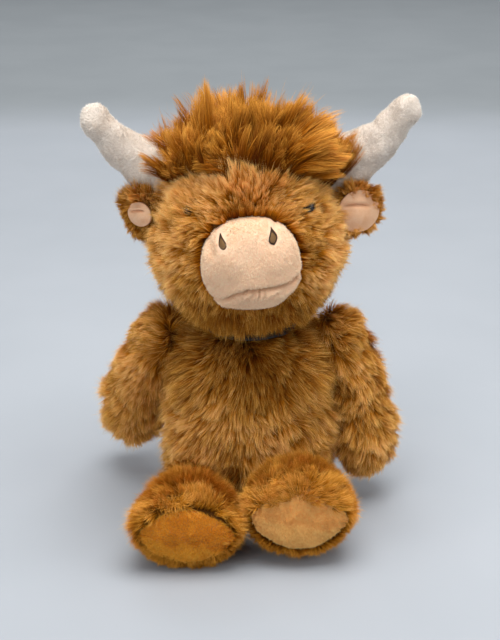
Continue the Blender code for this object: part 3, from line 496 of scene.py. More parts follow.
def make_materials():
    return {
        "fur": strand_material("fur_strands", **BODY_FUR),
        "leg_fur": strand_material("leg_fur_strands", **LEG_FUR),
        "mane": strand_material("mane_strands", roughness=0.55, **MANE_FUR),
        "horn_nap": strand_material("horn_nap_strands", roughness=0.85, **HORN_NAP),
        "sole_nap": strand_material("sole_nap_strands", roughness=0.85, **SOLE_NAP),
        "gold_nap": strand_material("gold_nap_strands", roughness=0.85, **LIT_SOLE_NAP),
        "nose_nap": strand_material("nose_nap_strands", roughness=0.85, **NOSE_NAP),
        "skin": backing_material("fur_backing", (0.09, 0.035, 0.007), (0.16, 0.065, 0.014)),
        "mane_skin": backing_material("mane_backing", (0.050, 0.013, 0.002), (0.11, 0.032, 0.005)),
        "horn": velour_material("horn_velour", (0.82, 0.74, 0.66), (0.87, 0.79, 0.71), (0.92, 0.84, 0.76)),
        "nose": velour_material("nose_velour", (0.94, 0.60, 0.39), (0.98, 0.66, 0.45), (1.0, 0.73, 0.53)),
        "ear": velour_material("ear_velour", (0.84, 0.46, 0.25), (0.91, 0.55, 0.33), (0.95, 0.67, 0.45)),
        # The left sole's velour, a paler copy of the right one's: painted light
        "gold_sole": velour_material(
            "lit_sole_velour", (0.90, 0.45, 0.12), (0.96, 0.54, 0.17), (1.0, 0.63, 0.23)
        ),
        "sole": velour_material("sole_velour", (0.62, 0.27, 0.05), (0.74, 0.36, 0.09), (0.84, 0.47, 0.16)),
        "thread": thread_material("brown_thread", (0.100, 0.045, 0.012), (0.30, 0.165, 0.060)),
        # Painted shade: the dark thread of the wider drop round each nostril
        "dark_thread": thread_material("dark_thread", (0.020, 0.008, 0.003), (0.050, 0.022, 0.008)),
        "ribbon": ribbon_material(),
        "eye": eye_material(),
    }


def curve_through(rows, steps):
    """Rows of numbers on the Catmull-Rom curve through the given rows, with so many steps a span."""
    rows = np.array(rows, float)
    known = np.vstack([2 * rows[0] - rows[1], rows, 2 * rows[-1] - rows[-2]])
    found = []
    for k in range(1, len(known) - 2):
        a, b, c, d = known[k - 1 : k + 3]
        for step in range(steps):
            t = step / steps
            square = 2 * a - 5 * b + 4 * c - d
            cube = 3 * b - a - 3 * c + d
            found.append((2 * b + (c - a) * t + square * t**2 + cube * t**3) / 2)
    found.append(rows[-1])
    return np.array(found)


def evenly(rows, count):
    """The same run of rows, set out again at even steps along its profile."""
    run = np.hypot(np.diff(rows[:, 0]), np.diff(rows[:, 1]))
    run = np.concatenate([[0], np.cumsum(run)])
    at = np.linspace(0, run[-1], count)
    return np.stack([np.interp(at, run, column) for column in rows.T], axis=1)


def ball_rows(radius, first, last, steps):
    angles = np.linspace(first, last, steps + 1)
    return [(-radius * math.cos(a), radius * math.sin(a), radius * math.sin(a), 0) for a in angles]


def rings_of(rows, place, sides, power=2.0, inset=0.0):
    """Rings of points round a form, one for each row of (along, half width, half height, shift)."""
    angle = np.linspace(0, 2 * math.pi, sides, endpoint=False)
    u = np.sign(np.cos(angle)) * np.abs(np.cos(angle)) ** (2 / power)
    v = np.sign(np.sin(angle)) * np.abs(np.sin(angle)) ** (2 / power)
    rings = []
    for along, wide, high, shift in rows:
        centre, across, up = place(along)
        centre = np.array(centre + up * shift)
        wide = max(wide - inset, 0.0002)
        high = max(high - inset, 0.0002)
        rings.append(centre + np.outer(u, np.array(across) * wide) + np.outer(v, np.array(up) * high))
    return np.array(rings)


def moved(points, matrix):
    m = np.array(matrix)
    return points @ m[:3, :3].T + m[:3, 3]


def turned(ways, matrix):
    return ways @ np.array(matrix.to_3x3()).T


def to_local(points, matrix):
    return moved(points, matrix.inverted())


def unit(vectors):
    return vectors / np.maximum(np.linalg.norm(vectors, axis=-1, keepdims=True), 1e-9)


def flat(ways, normals):
    """Unit directions along the surface."""
    return unit(ways - normals * (ways * normals).sum(1, keepdims=True))


def smoothstep(value, low, high):
    t = np.clip((value - low) / (high - low), 0, 1)
    return t * t * (3 - 2 * t)


def hump(value, middle, width):
    return np.exp(-(((value - middle) / width) ** 2))


def columns(*parts):
    return np.stack(parts, axis=-1)


def grid_mesh(name, rings, matrix=None, close=(True, True)):
    """A mesh of quads over rings of points, with its ends closed by a face."""
    count, sides, _ = rings.shape
    index = np.arange(count * sides).reshape(count, sides)
    wrap = np.roll(index, -1, axis=1)
    quads = np.stack([index[:-1], wrap[:-1], wrap[1:], index[1:]], axis=-1).reshape(-1, 4).tolist()
    if close[0]:
        quads.append(index[0][::-1].tolist())
    if close[1]:
        quads.append(index[-1].tolist())
    points = rings.reshape(-1, 3)
    if matrix:
        points = moved(points, matrix)
    mesh = bpy.data.meshes.new(name)
    mesh.from_pydata(points.tolist(), [], quads)
    mesh.update()
    turn_outwards(mesh)
    return mesh


def points_of(mesh):
    found = np.empty(len(mesh.vertices) * 3)
    mesh.vertices.foreach_get("co", found)
    return found.reshape(-1, 3)


def set_points(mesh, points):
    mesh.vertices.foreach_set("co", np.asarray(points, float).ravel())
    mesh.update()


def normals_of(mesh):
    found = np.empty(len(mesh.vertices) * 3)
    mesh.vertex_normals.foreach_get("vector", found)
    return found.reshape(-1, 3)


def corners_of(mesh):
    """Each triangle's three vertices, as numbers."""
    mesh.calc_loop_triangles()
    index = np.empty(len(mesh.loop_triangles) * 3, np.int32)
    mesh.loop_triangles.foreach_get("vertices", index)
    return index.reshape(-1, 3)


def turn_outwards(mesh):
    """Turns every face round when the closed mesh is inside out."""
    points = points_of(mesh)
    if np.linalg.det(points[corners_of(mesh)] - points.mean(0)).sum() < 0:
        mesh.flip_normals()


def add_piece(name, mesh, body, material, replaced=()):
    """Puts a finished mesh in the scene, on its body."""
    made = bpy.data.objects.new(name, mesh)
    bpy.context.scene.collection.objects.link(made)
    mesh.materials.clear()
    mesh.materials.append(material)
    mesh.shade_smooth()
    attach(made, body)
    if replaced:
        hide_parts(*replaced)
    return made


def waves(points, scale, seed, count=7):
    """Smooth noise of about unit size, from plane waves about as long as scale."""
    rng = np.random.default_rng(seed)
    total = np.zeros(len(points))
    for _ in range(count):
        k = rng.normal(size=3)
        k *= 2 * math.pi / (scale * np.linalg.norm(k)) * rng.uniform(0.7, 1.4)
        total += np.sin(points @ k + rng.uniform(0, 2 * math.pi))
    return total / math.sqrt(count / 2)


def wave_vectors(points, scale, seed):
    return columns(*(waves(points, scale, seed + k) for k in range(3)))


# Strands. lean: angles off the surface at root and tip. wisp and lock: sizes of small and large tufts.
# stray: by lock, by wisp and by strand. guard: share of long, thin, pale hairs. wide: width at the root.
FUR = {
    "wide": 0.00027,
    "lean": (0.50, 1.00),
    "droop": 0.20,
    "steps": 3,
    "wisp": 0.0015,
    "lock": 0.0056,
    "wisp_gather": 0.52,
    "lock_gather": 0.22,
    "ruffle": 0.24,
    "ruffle_size": 0.020,
    "stray": (0.20, 0.18, 0.15),
    "uneven": (0.86, 1.12),
    "tone": 0.5,
    "spread": 0.25,
    "pieces": 1,
    "share": None,
    "curves": None,
    "guard": 0.12,
}
NAP = dict(
    FUR, steps=2, wide=0.00018, lean=(0.85, 1.30), droop=0.0, wisp=0.0008, lock=0.0030, wisp_gather=0.32,
    lock_gather=0.06, ruffle=0.30, ruffle_size=0.009, stray=(0.10, 0.26, 0.34), spread=0.13, guard=0.0,
)
LOCK_KEEPS, WISP_KEEPS = 0.55, 0.20
WISP_LENGTHS, STRAND_LENGTHS, STRAND_WIDTHS = (0.90, 1.10), (0.82, 1.08), (0.75, 1.30)
GUARD_LENGTH, GUARD_WIDTH, GUARD_PULL, GUARD_TONE = 1.20, 0.7, 0.3, 1.3
LOCK_TONE, WISP_TONE, STRAND_TONE, WAVE_TONE, TONE_WAVE = 0.34, 0.50, 0.75, 0.40, 0.026
TIP_JITTER = 0.0003
STRAND_ROLL = 0.45
STRAND_TAPER = (0.75, 1.0, 0.95, 0.80, 0.58, 0.40, 0.25)
FEWEST_STRANDS = 50


def scatter(mesh, count, rng, share, axes):
    """Random points on a mesh, their smooth normals, and the area that they cover."""
    index = corners_of(mesh)
    points, normals = points_of(mesh), normals_of(mesh)
    corners = points[index]
    cross = np.cross(corners[:, 1] - corners[:, 0], corners[:, 2] - corners[:, 0])
    weight = np.linalg.norm(cross, axis=1) / 2
    if share:
        middle = corners.mean(1)
        weight = weight * share(middle, to_local(middle, axes))
    chosen = rng.choice(len(index), size=count, p=weight / weight.sum())
    a, b = rng.random((2, count))
    over = a + b > 1
    a[over], b[over] = 1 - a[over], 1 - b[over]
    bary = columns(1 - a - b, a, b)[:, :, None]
    return (corners[chosen] * bary).sum(1), unit((normals[index[chosen]] * bary).sum(1)), weight.sum()


def tufts(points, area, size, rng):
    """Picks a leader for every tuft of about this size, and names each point's leader."""
    count = int(np.clip(area / size**2, 6, len(points)))
    leaders = rng.choice(len(points), size=count, replace=False)
    tree = KDTree(count)
    for k, place in enumerate(points[leaders]):
        tree.insert(place, k)
    tree.balance()
    return leaders, np.array([tree.find(place)[1] for place in points])


def strand_mesh(name, lines, wides, sides, tones):
    """Flat tapering strands along lines of points, in one mesh. Each ends in a point."""
    count, steps, _ = lines.shape
    even = np.linspace(0, 1, steps)[:-1]
    share = np.interp(even, np.linspace(0, 1, len(STRAND_TAPER)), STRAND_TAPER)
    half = sides[:, None] * wides[:, None, None] / 2 * share[None, :, None]
    pairs = np.stack([lines[:, :-1] - half, lines[:, :-1] + half], axis=2).reshape(count, -1, 3)
    points = np.concatenate([pairs, lines[:, -1:]], axis=1)
    per = points.shape[1]
    quads = [[2 * k, 2 * k + 1, 2 * k + 3, 2 * k + 2] for k in range(steps - 2)]
    corner = np.array([*sum(quads, []), per - 3, per - 2, per - 1])
    loops = ((np.arange(count) * per)[:, None] + corner[None, :]).ravel()
    sizes = np.tile(np.array([4] * (steps - 2) + [3]), count)
    starts = np.concatenate([[0], np.cumsum(sizes)[:-1]])
    mesh = bpy.data.meshes.new(name)
    mesh.vertices.add(count * per)
    mesh.vertices.foreach_set("co", points.astype(np.float32).ravel())
    mesh.loops.add(len(loops))
    mesh.loops.foreach_set("vertex_index", loops.astype(np.int32))
    mesh.polygons.add(len(sizes))
    mesh.polygons.foreach_set("loop_start", starts.astype(np.int32))
    v = np.concatenate([np.repeat(even, 2), [1.0]])
    u_side = np.concatenate([np.tile([-1.0, 1.0], steps - 1), [0.0]])
    u = np.clip(tones, 0.02, 0.98)[:, None] + 0.004 * u_side[None, :]
    uv = columns(u, np.broadcast_to(0.01 + 0.98 * v, u.shape)).reshape(-1, 2)
    layer = mesh.uv_layers.new(name="OFBake")
    layer.data.foreach_set("uv", uv[loops].astype(np.float32).ravel())
    mesh.update()
    return mesh


def leaning(points, normals, ways, lengths, lean, tilt, droop, t):
    """Lines that leave the surface at one angle and bend to another."""
    start = normals * np.cos(lean[0] + tilt)[..., None] + ways * np.sin(lean[0] + tilt)[..., None]
    end = normals * np.cos(lean[1] + tilt)[..., None] + ways * np.sin(lean[1] + tilt)[..., None]
    end = unit(end + droop * DOWN)
    return points[:, None] + lengths[:, None, None] * (start[:, None] * t + (end - start)[:, None] * t**2 / 2)


def gathered(lines, points, leaders, owner, pull, keep, t):
    """The same lines, drawn towards those of their tufts' leaders."""
    offset = (points - points[leaders][owner])[:, None]
    return lines + pull[:, None, None] * t**1.3 * (lines[leaders][owner] + keep * offset - lines)


def grow(name, mesh, body, material, slot, seed, count, length, flow, style=FUR, axes=MODEL, **own):
    """Grows strands from a mesh. They lean along the flow, gather in wisps and locks, and clear the floor.

    length, flow, lean and tone may be functions of the points in the model's frame, the points in axes and
    the normals. share is a function of the first two.
    """
    s = dict(style, **own)
    rng = np.random.default_rng(seed)
    count = max(int(count * DENSITY), FEWEST_STRANDS)
    points, normals, area = scatter(mesh, count, rng, s["share"], axes)
    local = to_local(points, axes)

    def at(value):
        return value(points, local, normals) if callable(value) else value

    lock_leader, lock = tufts(points, area, s["lock"], rng)
    wisp_leader, wisp = tufts(points, area, s["wisp"], rng)
    lock_stray, wisp_stray, own_stray = s["stray"]
    stray = rng.normal(size=(len(lock_leader), 3))[lock] * lock_stray
    stray = stray + rng.normal(size=(len(wisp_leader), 3))[wisp] * wisp_stray
    stray = stray + rng.normal(size=(count, 3)) * own_stray
    lengths = at(length) * rng.uniform(*s["uneven"], size=len(lock_leader))[lock]
    lengths = lengths * rng.uniform(*WISP_LENGTHS, size=len(wisp_leader))[wisp]
    lengths = lengths * rng.uniform(*STRAND_LENGTHS, size=count)
    guard = rng.random(count) < s["guard"]
    lengths = lengths * np.where(guard, GUARD_LENGTH, 1.0)
    t = np.linspace(0, 1, s["steps"] + 1)[None, :, None]
    if s["curves"]:
        lines = s["curves"](local, stray, t)
    else:
        ruffle = s["ruffle"] * wave_vectors(points, s["ruffle_size"], seed + 11)
        ways = flat(unit(unit(flow(points, local, normals)) + ruffle) + stray, normals)
        tilt = (stray * normals).sum(1)
        lines = leaning(points, normals, ways, lengths, at(s["lean"]), tilt, s["droop"], t)
    pull = np.where(guard, GUARD_PULL, 1.0)
    lines = gathered(lines, points, lock_leader, lock, s["lock_gather"] * pull, LOCK_KEEPS, t)
    lines = gathered(lines, points, wisp_leader, wisp, s["wisp_gather"] * pull, WISP_KEEPS, t)
    lines = lines + rng.normal(size=(count, 1, 3)) * TIP_JITTER * t**2
    lines[..., 2] = np.maximum(lines[..., 2], FLOOR_LIFT)
    tangent = unit(lines[:, -1] - lines[:, 0])
    across = unit(np.cross(tangent, normals) + 1e-6)
    roll = rng.normal(size=count)[:, None] * STRAND_ROLL
    across = across * np.cos(roll) + np.cross(tangent, across) * np.sin(roll)
    tones = LOCK_TONE * rng.normal(size=len(lock_leader))[lock]
    tones = tones + WISP_TONE * rng.normal(size=len(wisp_leader))[wisp]
    tones = tones + STRAND_TONE * rng.normal(size=count) + WAVE_TONE * waves(points, TONE_WAVE, seed + 5)
    tones = at(s["tone"]) + s["spread"] * (tones + GUARD_TONE * guard)
    wides = s["wide"] * rng.uniform(*STRAND_WIDTHS, size=count) * np.where(guard, GUARD_WIDTH, 1.0)
    wides = wides / math.sqrt(DENSITY)
    order = np.argsort(points[:, 0], kind="stable")
    for k, part in enumerate(np.array_split(order, s["pieces"])):
        tag = f"{name}_{k + 1}" if s["pieces"] > 1 else name
        strands = strand_mesh(tag, lines[part], wides[part], across[part], tones[part])
        add_piece(tag, strands, body, material)


def dent(points, centre, radius, way):
    """Pushes the points inside a ball along way, out to the ball's far side."""
    centre, way = np.array(centre), unit(np.array(way, float))
    rel = points - centre
    along = rel @ way
    off = np.linalg.norm(rel - along[:, None] * way, axis=1)
    reach = np.sqrt(np.maximum(radius**2 - off**2, 0))
    inside = (off < radius) & (np.abs(along) < reach)
    points = points.copy()
    points[inside] += (reach[inside] - along[inside])[:, None] * way
    return points


def clear_of(points, balls):
    """1 where a point lies outside all the balls, 0 inside one."""
    keep = np.ones(len(points))
    for centre, radius in balls:
        keep[np.linalg.norm(points - np.array(centre), axis=1) < radius] = 0
    return keep


def straight(direction, across, up):
    return lambda along: (direction * along, across, up)


UPRIGHT = straight(UP, ACROSS, FORWARD)


def make_torso(mats):
    """The trunk's backing, dented for the limbs, and its pile, which parts down the belly's middle."""
    rows = [
        (up * TORSO_HEIGHT, wide * TORSO_HALF_WIDTH, deep * TORSO_HALF_DEPTH, -back * TORSO_HALF_DEPTH)
        for up, wide, deep, back in TORSO_SHARES
    ]
    rows = curve_through(rows, 5)
    rows[:, 0] = np.interp(rows[:, 0], [0, TORSO_HEIGHT], [SEAT_LIFT, TORSO_HEIGHT - COLLAR_DROP])
    axes = Matrix.Translation(SHIFT)
    mesh = grid_mesh("torso_skin", rings_of(rows, UPRIGHT, 72, TORSO_SQUARENESS, TORSO_BED), axes)
    fur_bed = mesh.copy()
    points = points_of(mesh)
    bare = []
    for side, sign in SIDES.items():
        arm, leg = JOINTS[f"arm_{side}_swing"], JOINTS[f"leg_{side}_swing"]
        points = dent(points, arm, ARM_ROOT_RADIUS - 0.0030, (-sign, 0, 0))
        points = dent(points, leg, LEG_ROOT_RADIUS - 0.0030, (0, 1, 0))
        bare += [(arm, ARM_ROOT_RADIUS - 0.0045), (leg, LEG_ROOT_RADIUS - 0.0020)]
    set_points(mesh, points)
    replaced = ("torso_cover", "torso_filling", "pellet_bag")
    add_piece("torso_skin", mesh, "trunk", mats["skin"], replaced)

    def share(p, q):
        seat = smoothstep(q[:, 2], 0.0020, 0.0060)
        neck = 1 - smoothstep(q[:, 2], 0.1090, 0.1130)
        return clear_of(p, bare) * (0.02 + 0.98 * seat) * (0.02 + 0.98 * neck)

    def from_parting(x, z):
        return x - np.interp(z, [0, 0.12], [-0.006, -0.001])

    def shoulder(x, z):
        """1 on the slope of the shoulders, beside the arms' roots."""
        return smoothstep(z, 0.066, 0.092) * smoothstep(np.abs(x), 0.018, 0.032)

    def flow(p, q, n):
        x, y, z = q.T
        x = from_parting(x, z)
        fan = 0.80 * np.tanh(x / 0.018)
        slope = smoothstep(z, 0.085, 0.110) * smoothstep(np.abs(x), 0.012, 0.034)
        front = smoothstep(-y, -0.01, 0.02)
        return columns(fan + 1.3 * slope * np.sign(x), 0.35 * (1 - front), -1 + 0.75 * slope)

    def length(p, q, n):
        x, _, z = q.T
        high = smoothstep(z, 0.080, 0.104)
        low = smoothstep(z, 0.000, 0.020)
        flank = smoothstep(np.abs(x), 0.030, 0.044)
        return (0.0146 - 0.0036 * high + 0.0060 * shoulder(x, z) + 0.0020 * flank) * (0.60 + 0.40 * low)

    def lean(p, q, n):
        x, _, z = q.T
        flank = smoothstep(np.abs(x), 0.026, 0.044)
        return 0.70 + 0.08 * flank - 0.40 * shoulder(x, z), 1.16 + 0.06 * flank - 0.36 * shoulder(x, z)

    def tone(p, q, n):
        x, _, z = q.T
        x = from_parting(x, z)
        belly = hump(x, 0.016, 0.020) * hump(z, 0.066, 0.024)
        left_belly = hump(x, -0.022, 0.014) * hump(z, 0.050, 0.022)
        # The chest under the chin is painted darker: painted shade under the head
        chest_shade = smoothstep(z, 0.072, 0.096) * (1 - 0.7 * smoothstep(np.abs(x), 0.020, 0.036))
        return 0.46 - 0.14 * hump(x, 0, 0.007) + 0.16 * belly + 0.10 * left_belly - 0.30 * chest_shade

    grow(
        "torso_fur", fur_bed, "trunk", mats["fur"], "pile", 101, 140000, length, flow,
        axes=axes, share=share, tone=tone, lean=lean, pieces=4, lock=0.0062,
    )


def head_rows(steps):
    wide, deep, high = HEAD_HALF
    rows = []
    for angle in np.linspace(0, math.pi, steps + 1):
        cheek = 1 + CHEEK_SHARE * math.cos(angle) * math.sin(angle) ** 2
        rows.append((-high * math.cos(angle), wide * math.sin(angle) * cheek, deep * math.sin(angle), 0))
    return rows


def in_mane(q):
    """Whether points on the head, in its own frame, are on the patch that carries the topknot."""
    x, y, wide, deep = MANE_PATCH
    reach = ((q[:, 0] - x) / wide) ** 2 + ((q[:, 1] - y) / deep) ** 2
    return (reach < 1) & (q[:, 2] > 0)


def nose_reach(x, z):
    """1 at the nose patch's seam, less inside it, more outside it."""
    wide = (np.abs(x) / MUZZLE_HALF_WIDTH) ** MUZZLE_SQUARENESS
    high = (np.abs(z) / MUZZLE_HALF_HEIGHT) ** MUZZLE_SQUARENESS
    return (wide + high) ** (1 / MUZZLE_SQUARENESS)


def around_muzzle(p):
    """The same for points in the model's frame, and far outside behind the nose."""
    x, y, z = to_local(p, NOSE).T
    return nose_reach(x, z) + np.where(y > 0, 9.0, 0.0)


def eye_middle(side):
    """The middle of an eye's bead, raised to where the pile round it starts."""
    low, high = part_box(f"eye_{side}")
    middle = (low + high) / 2
    return np.array(middle + (middle - HEAD.translation).normalized() * EYE_OUT)


def make_head(mats):
    """The head's backing and pile, which spreads from the nose, and the plug of stuffing in the neck."""
    mesh = grid_mesh("head_skin", rings_of(head_rows(44), UPRIGHT, 72, inset=BED), HEAD)
    fur_bed = mesh.copy()
    points = dent(points_of(mesh), NECK, NECK_BALL_RADIUS + 0.0008, (0, 0, 1))
    horn_roots = [(JOINTS[f"horn_{side}_tilt"], HORN_ROOT_RADIUS - 0.0010) for side in SIDES]
    for (root, radius), sign in zip(horn_roots, SIDES.values()):
        points = dent(points, root, radius + 0.0016, (-sign, 0, -0.45))
    set_points(mesh, points)
    replaced = ("head_cover", "head_filling", "eye_washer_left", "eye_washer_right")
    add_piece("head_skin", mesh, "head", mats["skin"], replaced)
    plug = rings_of(ball_rows(NECK_BALL_RADIUS - 0.0004, 0, math.pi, 16), UPRIGHT, 32)
    plug_mesh = grid_mesh("neck_plug", plug, Matrix.Translation(NECK))
    add_piece("neck_plug", plug_mesh, "neck", mats["skin"], ("neck_filling",))

    nose_at = np.array(NOSE @ Vector((0, -0.038, 0.004)))
    eyes = {side: eye_middle(side) for side in SIDES}
    bare = horn_roots + [(ear_matrix(side).translation, 0.0150) for side in SIDES]

    def by_eye(p, side):
        return hump(np.linalg.norm(p - eyes[side], axis=1), 0, 0.0070)

    def by_horn(p):
        """1 on the ring of pile that stands up round each horn's root."""
        apart = [np.linalg.norm(p - np.array(root), axis=1) for root, _ in horn_roots]
        return hump(np.minimum(*apart), HORN_ROOT_RADIUS + 0.0020, 0.0060)

    def zones(p, q):
        """The front of the head, the pile beside the nose and the forehead."""
        front = smoothstep(-q[:, 1], -0.004, 0.020)
        near = (1 - smoothstep(around_muzzle(p), 1.00, 1.55)) * front
        return front, near, smoothstep(q[:, 2], 0.014, 0.034) * front

    def share(p, q):
        keep = clear_of(p, bare) * np.where(in_mane(q), 0, 1)
        keep = keep * (1 + 5.0 * by_eye(p, "left") + 9.0 * by_eye(p, "right"))
        keep = keep * np.where(around_muzzle(p) < 0.97, 0, 1)
        behind = 1 - 0.35 * smoothstep(q[:, 1], 0.000, 0.014)
        return keep * behind * (0.03 + 0.97 * smoothstep(q[:, 2], -0.0470, -0.0440))

    def flow(p, q, n):
        behind = smoothstep(q[:, 1], -0.012, 0.022)[:, None]
        chin = smoothstep(-q[:, 2], 0.006, 0.034)[:, None]
        way = unit(p - nose_at) * (1 - behind) + (DOWN + np.array([0, 0.25, 0])) * behind
        return way + DOWN * (0.12 + 0.55 * chin)

    def length(p, q, n):
        x, _, z = q.T
        front, near, forehead = zones(p, q)
        chin = smoothstep(-z, 0.020, 0.036)
        brow = smoothstep(z, 0.026, 0.036) * front
        temple = smoothstep(np.abs(x), 0.030, 0.046)
        face = 1 - 0.42 * near * (1 - 0.5 * chin)
        top = 1 - 0.22 * forehead + 0.24 * brow
        tall = 1 - 0.16 * temple + 0.50 * by_horn(p) + 0.10 * by_eye(p, "left") + 0.45 * by_eye(p, "right")
        return 0.0144 * face * top * tall

    def lean(p, q, n):
        _, near, forehead = zones(p, q)
        rise = 0.22 * forehead + 0.45 * by_horn(p)
        return 0.74 - rise - 0.14 * near, 1.12 - rise - 0.08 * near

    def tone(p, q, n):
        x, _, z = q.T
        front, _, _ = zones(p, q)
        brow = hump(z, 0.036, 0.008) * front
        rim = hump(around_muzzle(p), 1.0, 0.10)
        socket = hump(x, 0.033, 0.007) * hump(z, 0.025, 0.007) * front
        # The chin's pile is painted darker: painted shade under the nose and head
        chin = smoothstep(-z, 0.014, 0.034)
        cheek = smoothstep(np.abs(x), 0.026, 0.040) * (1 - chin)
        return 0.56 + 0.14 * brow + 0.08 * cheek - 0.22 * rim - 0.30 * socket - 0.62 * chin

    grow(
        "head_fur", fur_bed, "head", mats["fur"], "pile", 202, 150000, length, flow,
        axes=HEAD, share=share, lean=lean, tone=tone, pieces=4, droop=0.16,
    )


def mouth_line(x):
    """Height of the mouth crease across the nose patch, both in metres from its middle."""
    known_x = [-0.0245, -0.0160, -0.0090, -0.0030, 0.0040, 0.0190, 0.0268]
    known_z = [-0.0145, -0.0118, -0.0082, -0.0062, -0.0066, -0.0078, -0.0058]
    return np.interp(x, known_x, known_z)


def muzzle_rows():
    back = MUZZLE_FRONT - MUZZLE_DEPTH
    rows = [(back + share * MUZZLE_DEPTH, wide * MUZZLE_HALF_WIDTH) for share, wide in MUZZLE_SHARES]
    return evenly(curve_through(rows, 12), 104)


def make_muzzle(mats):
    """A stuffed dome of velour, with the mouth drawn in and the cloth puckered under it."""
    high = MUZZLE_HALF_HEIGHT / MUZZLE_HALF_WIDTH
    rows = [(along, wide, wide * high, 0) for along, wide in muzzle_rows()]
    rings = rings_of(rows, straight(FORWARD, ACROSS, UP), 176, MUZZLE_SQUARENESS)
    mesh = grid_mesh("muzzle_velour", rings, close=(False, True))
    p = points_of(mesh)
    x, y, z = p.T
    gap = z - mouth_line(x)
    ahead = smoothstep(-y, 0.044, 0.060)
    drawn = ahead * (0.25 + 0.75 * smoothstep(x, -0.024, -0.010))
    groove = 0.0030 * hump(gap, 0, 0.0012) * drawn
    lip = 0.0013 * hump(gap, -0.0042, 0.0030) * ahead + 0.0005 * hump(gap, 0.0034, 0.0024) * drawn
    spoke = np.arctan2(x + 0.004, 0.016 + gap) * 26 + 2.2 * waves(p, 0.012, 9)
    pucker = 0.00060 * hump(gap, -0.0036, 0.0040) * np.sin(spoke) * ahead
    fold = 0.0013 * hump(gap + 0.35 * (x + 0.018), -0.0042, 0.0012) * hump(x, -0.0155, 0.0050)
    soft = 0.00035 * waves(p, 0.022, 7) * ahead
    p = p + normals_of(mesh) * (lip + pucker + soft - groove - fold)[:, None]
    kink = hump(p[:, 0], -0.0205, 0.0030) * hump(p[:, 2], 0.0150, 0.0035) * smoothstep(-p[:, 1], 0.036, 0.050)
    p = p + kink[:, None] * np.array([0.0013, 0, -0.0013])
    notch = hump(p[:, 0], 0.0158, 0.0012) * hump(p[:, 2], 0.0215, 0.0030)
    p[:, 2] -= 0.0016 * notch
    set_points(mesh, moved(p, NOSE))
    turn_outwards(mesh)
    add_piece("muzzle_velour", mesh, "head", mats["nose"], ("muzzle",))

    def flow(p, q, n):
        x, _, z = q.T
        return turned(columns(x * 12, 0 * x, -0.6 + 8 * z), NOSE)

    def share(p, q):
        x, y, z = q.T
        near_x = 1 - smoothstep(np.abs(np.abs(x) - NOSTRIL_SPACING / 2), 0.0024, 0.0030)
        near_z = 1 - smoothstep(np.abs(z - NOSTRIL_RISE), 0.0030, 0.0038)
        return smoothstep(-y, 0.030, 0.036) * (1 - 0.99 * near_x * near_z) + 1e-4

    def tone(p, q, n):
        x, _, z = q.T
        # The nap is painted lighter on top, a painted highlight, and darker below and in the mouth's crease,
        # painted shade
        crease = hump(z - mouth_line(x), 0, 0.0010)
        return 0.50 + 0.20 * smoothstep(z, 0.004, 0.018) - 0.10 * smoothstep(-z, 0.004, 0.016) - 0.40 * crease

    grow(
        "muzzle_nap", mesh, "head", mats["nose_nap"], "nose", 250, 56000, 0.0010, flow,
        style=NAP, axes=NOSE, share=share, tone=tone, wide=0.00019, lean=(0.95, 1.35),
        wisp=0.0007, lock=0.0028, wisp_gather=0.30, lock_gather=0.0, ruffle_size=0.010,
        stray=(0.08, 0.26, 0.34), spread=0.11,
    )
    make_nostrils(mats)
    make_mouth(mats)


def nose_front(x, z):
    """How far ahead the nose patch's surface lies at x, z of its middle."""
    rows = muzzle_rows()[::-1]
    ahead = rows[:, 0] > MUZZLE_FRONT - 0.55 * MUZZLE_DEPTH
    return np.interp(nose_reach(x, z) * MUZZLE_HALF_WIDTH, rows[ahead, 1], rows[ahead, 0])


def make_nostrils(mats):
    """Raised satin-stitch drops, rounded below and pointed at the top, each over a wider, darker drop:
    painted shade round the raised stitches.
    """
    t = np.linspace(0, 1, 17)[:, None]
    angle = np.linspace(0, 2 * math.pi, 22, endpoint=False)[None, :]
    rounding = np.sin(math.pi * np.clip(t, 0.02, 0.98))
    wide = 0.0027 * rounding**0.8 * (1.0 - 0.62 * t)
    up = -0.0022 + 0.0047 * t
    bulge = np.maximum(np.sin(angle), -0.35) * rounding**0.5
    for side, sign in SIDES.items():
        lean = sign * NOSTRIL_LEAN * 0.10 + 0.14
        parts = (
            ("nostril_stitch", 1.0, 0.0019, "thread", (f"nostril_{side}",)),
            # The wider, darker drop is painted shade round the raised stitches
            ("nostril_shade", 1.26, 0.0013, "dark_thread", ()),
        )
        for name, grown, raised, material, replaced in parts:
            across, high = wide * np.cos(angle) * grown, up * grown
            x = sign * NOSTRIL_SPACING / 2 + across * math.cos(lean) - high * math.sin(lean)
            z = NOSTRIL_RISE + across * math.sin(lean) + high * math.cos(lean)
            y = -(nose_front(x, z) + raised * bulge)
            mesh = grid_mesh(f"{name}_{side}", columns(x, y, z), NOSE)
            add_piece(f"{name}_{side}", mesh, "head", mats[material], replaced)


def tube(name, path, radius, sides=8):
    """A closed round tube along a path of points."""
    along = unit(np.gradient(path, axis=0))
    across = unit(np.cross(along, [0, 1.0, 0]))
    out = np.cross(across, along)
    angle = np.linspace(0, 2 * math.pi, sides, endpoint=False)[None, :, None]
    ring = np.cos(angle) * across[:, None] + np.sin(angle) * out[:, None]
    return grid_mesh(name, path[:, None] + radius * ring)


def make_mouth(mats):
    """The thread that draws the mouth in lies at the bottom of the crease."""
    x = np.linspace(-0.0130, 0.0190, 40)
    z = np.convolve(np.pad(mouth_line(x), 3, mode="edge"), np.ones(7) / 7, mode="valid")
    path = moved(columns(x, -(nose_front(x, z) - MOUTH_DEPTH), z), NOSE)
    mesh = tube("mouth_thread", path, SHOWN_THREAD_RADIUS)
    add_piece("mouth_thread", mesh, "head", mats["thread"], ("mouth_stitch",))


def make_eyes(mats):
    """The beads are shown by their own solids."""
    for side in SIDES:
        materials = frame["nodes"][f"eye_{side}"].data.materials
        materials.clear()
        materials.append(mats["eye"])


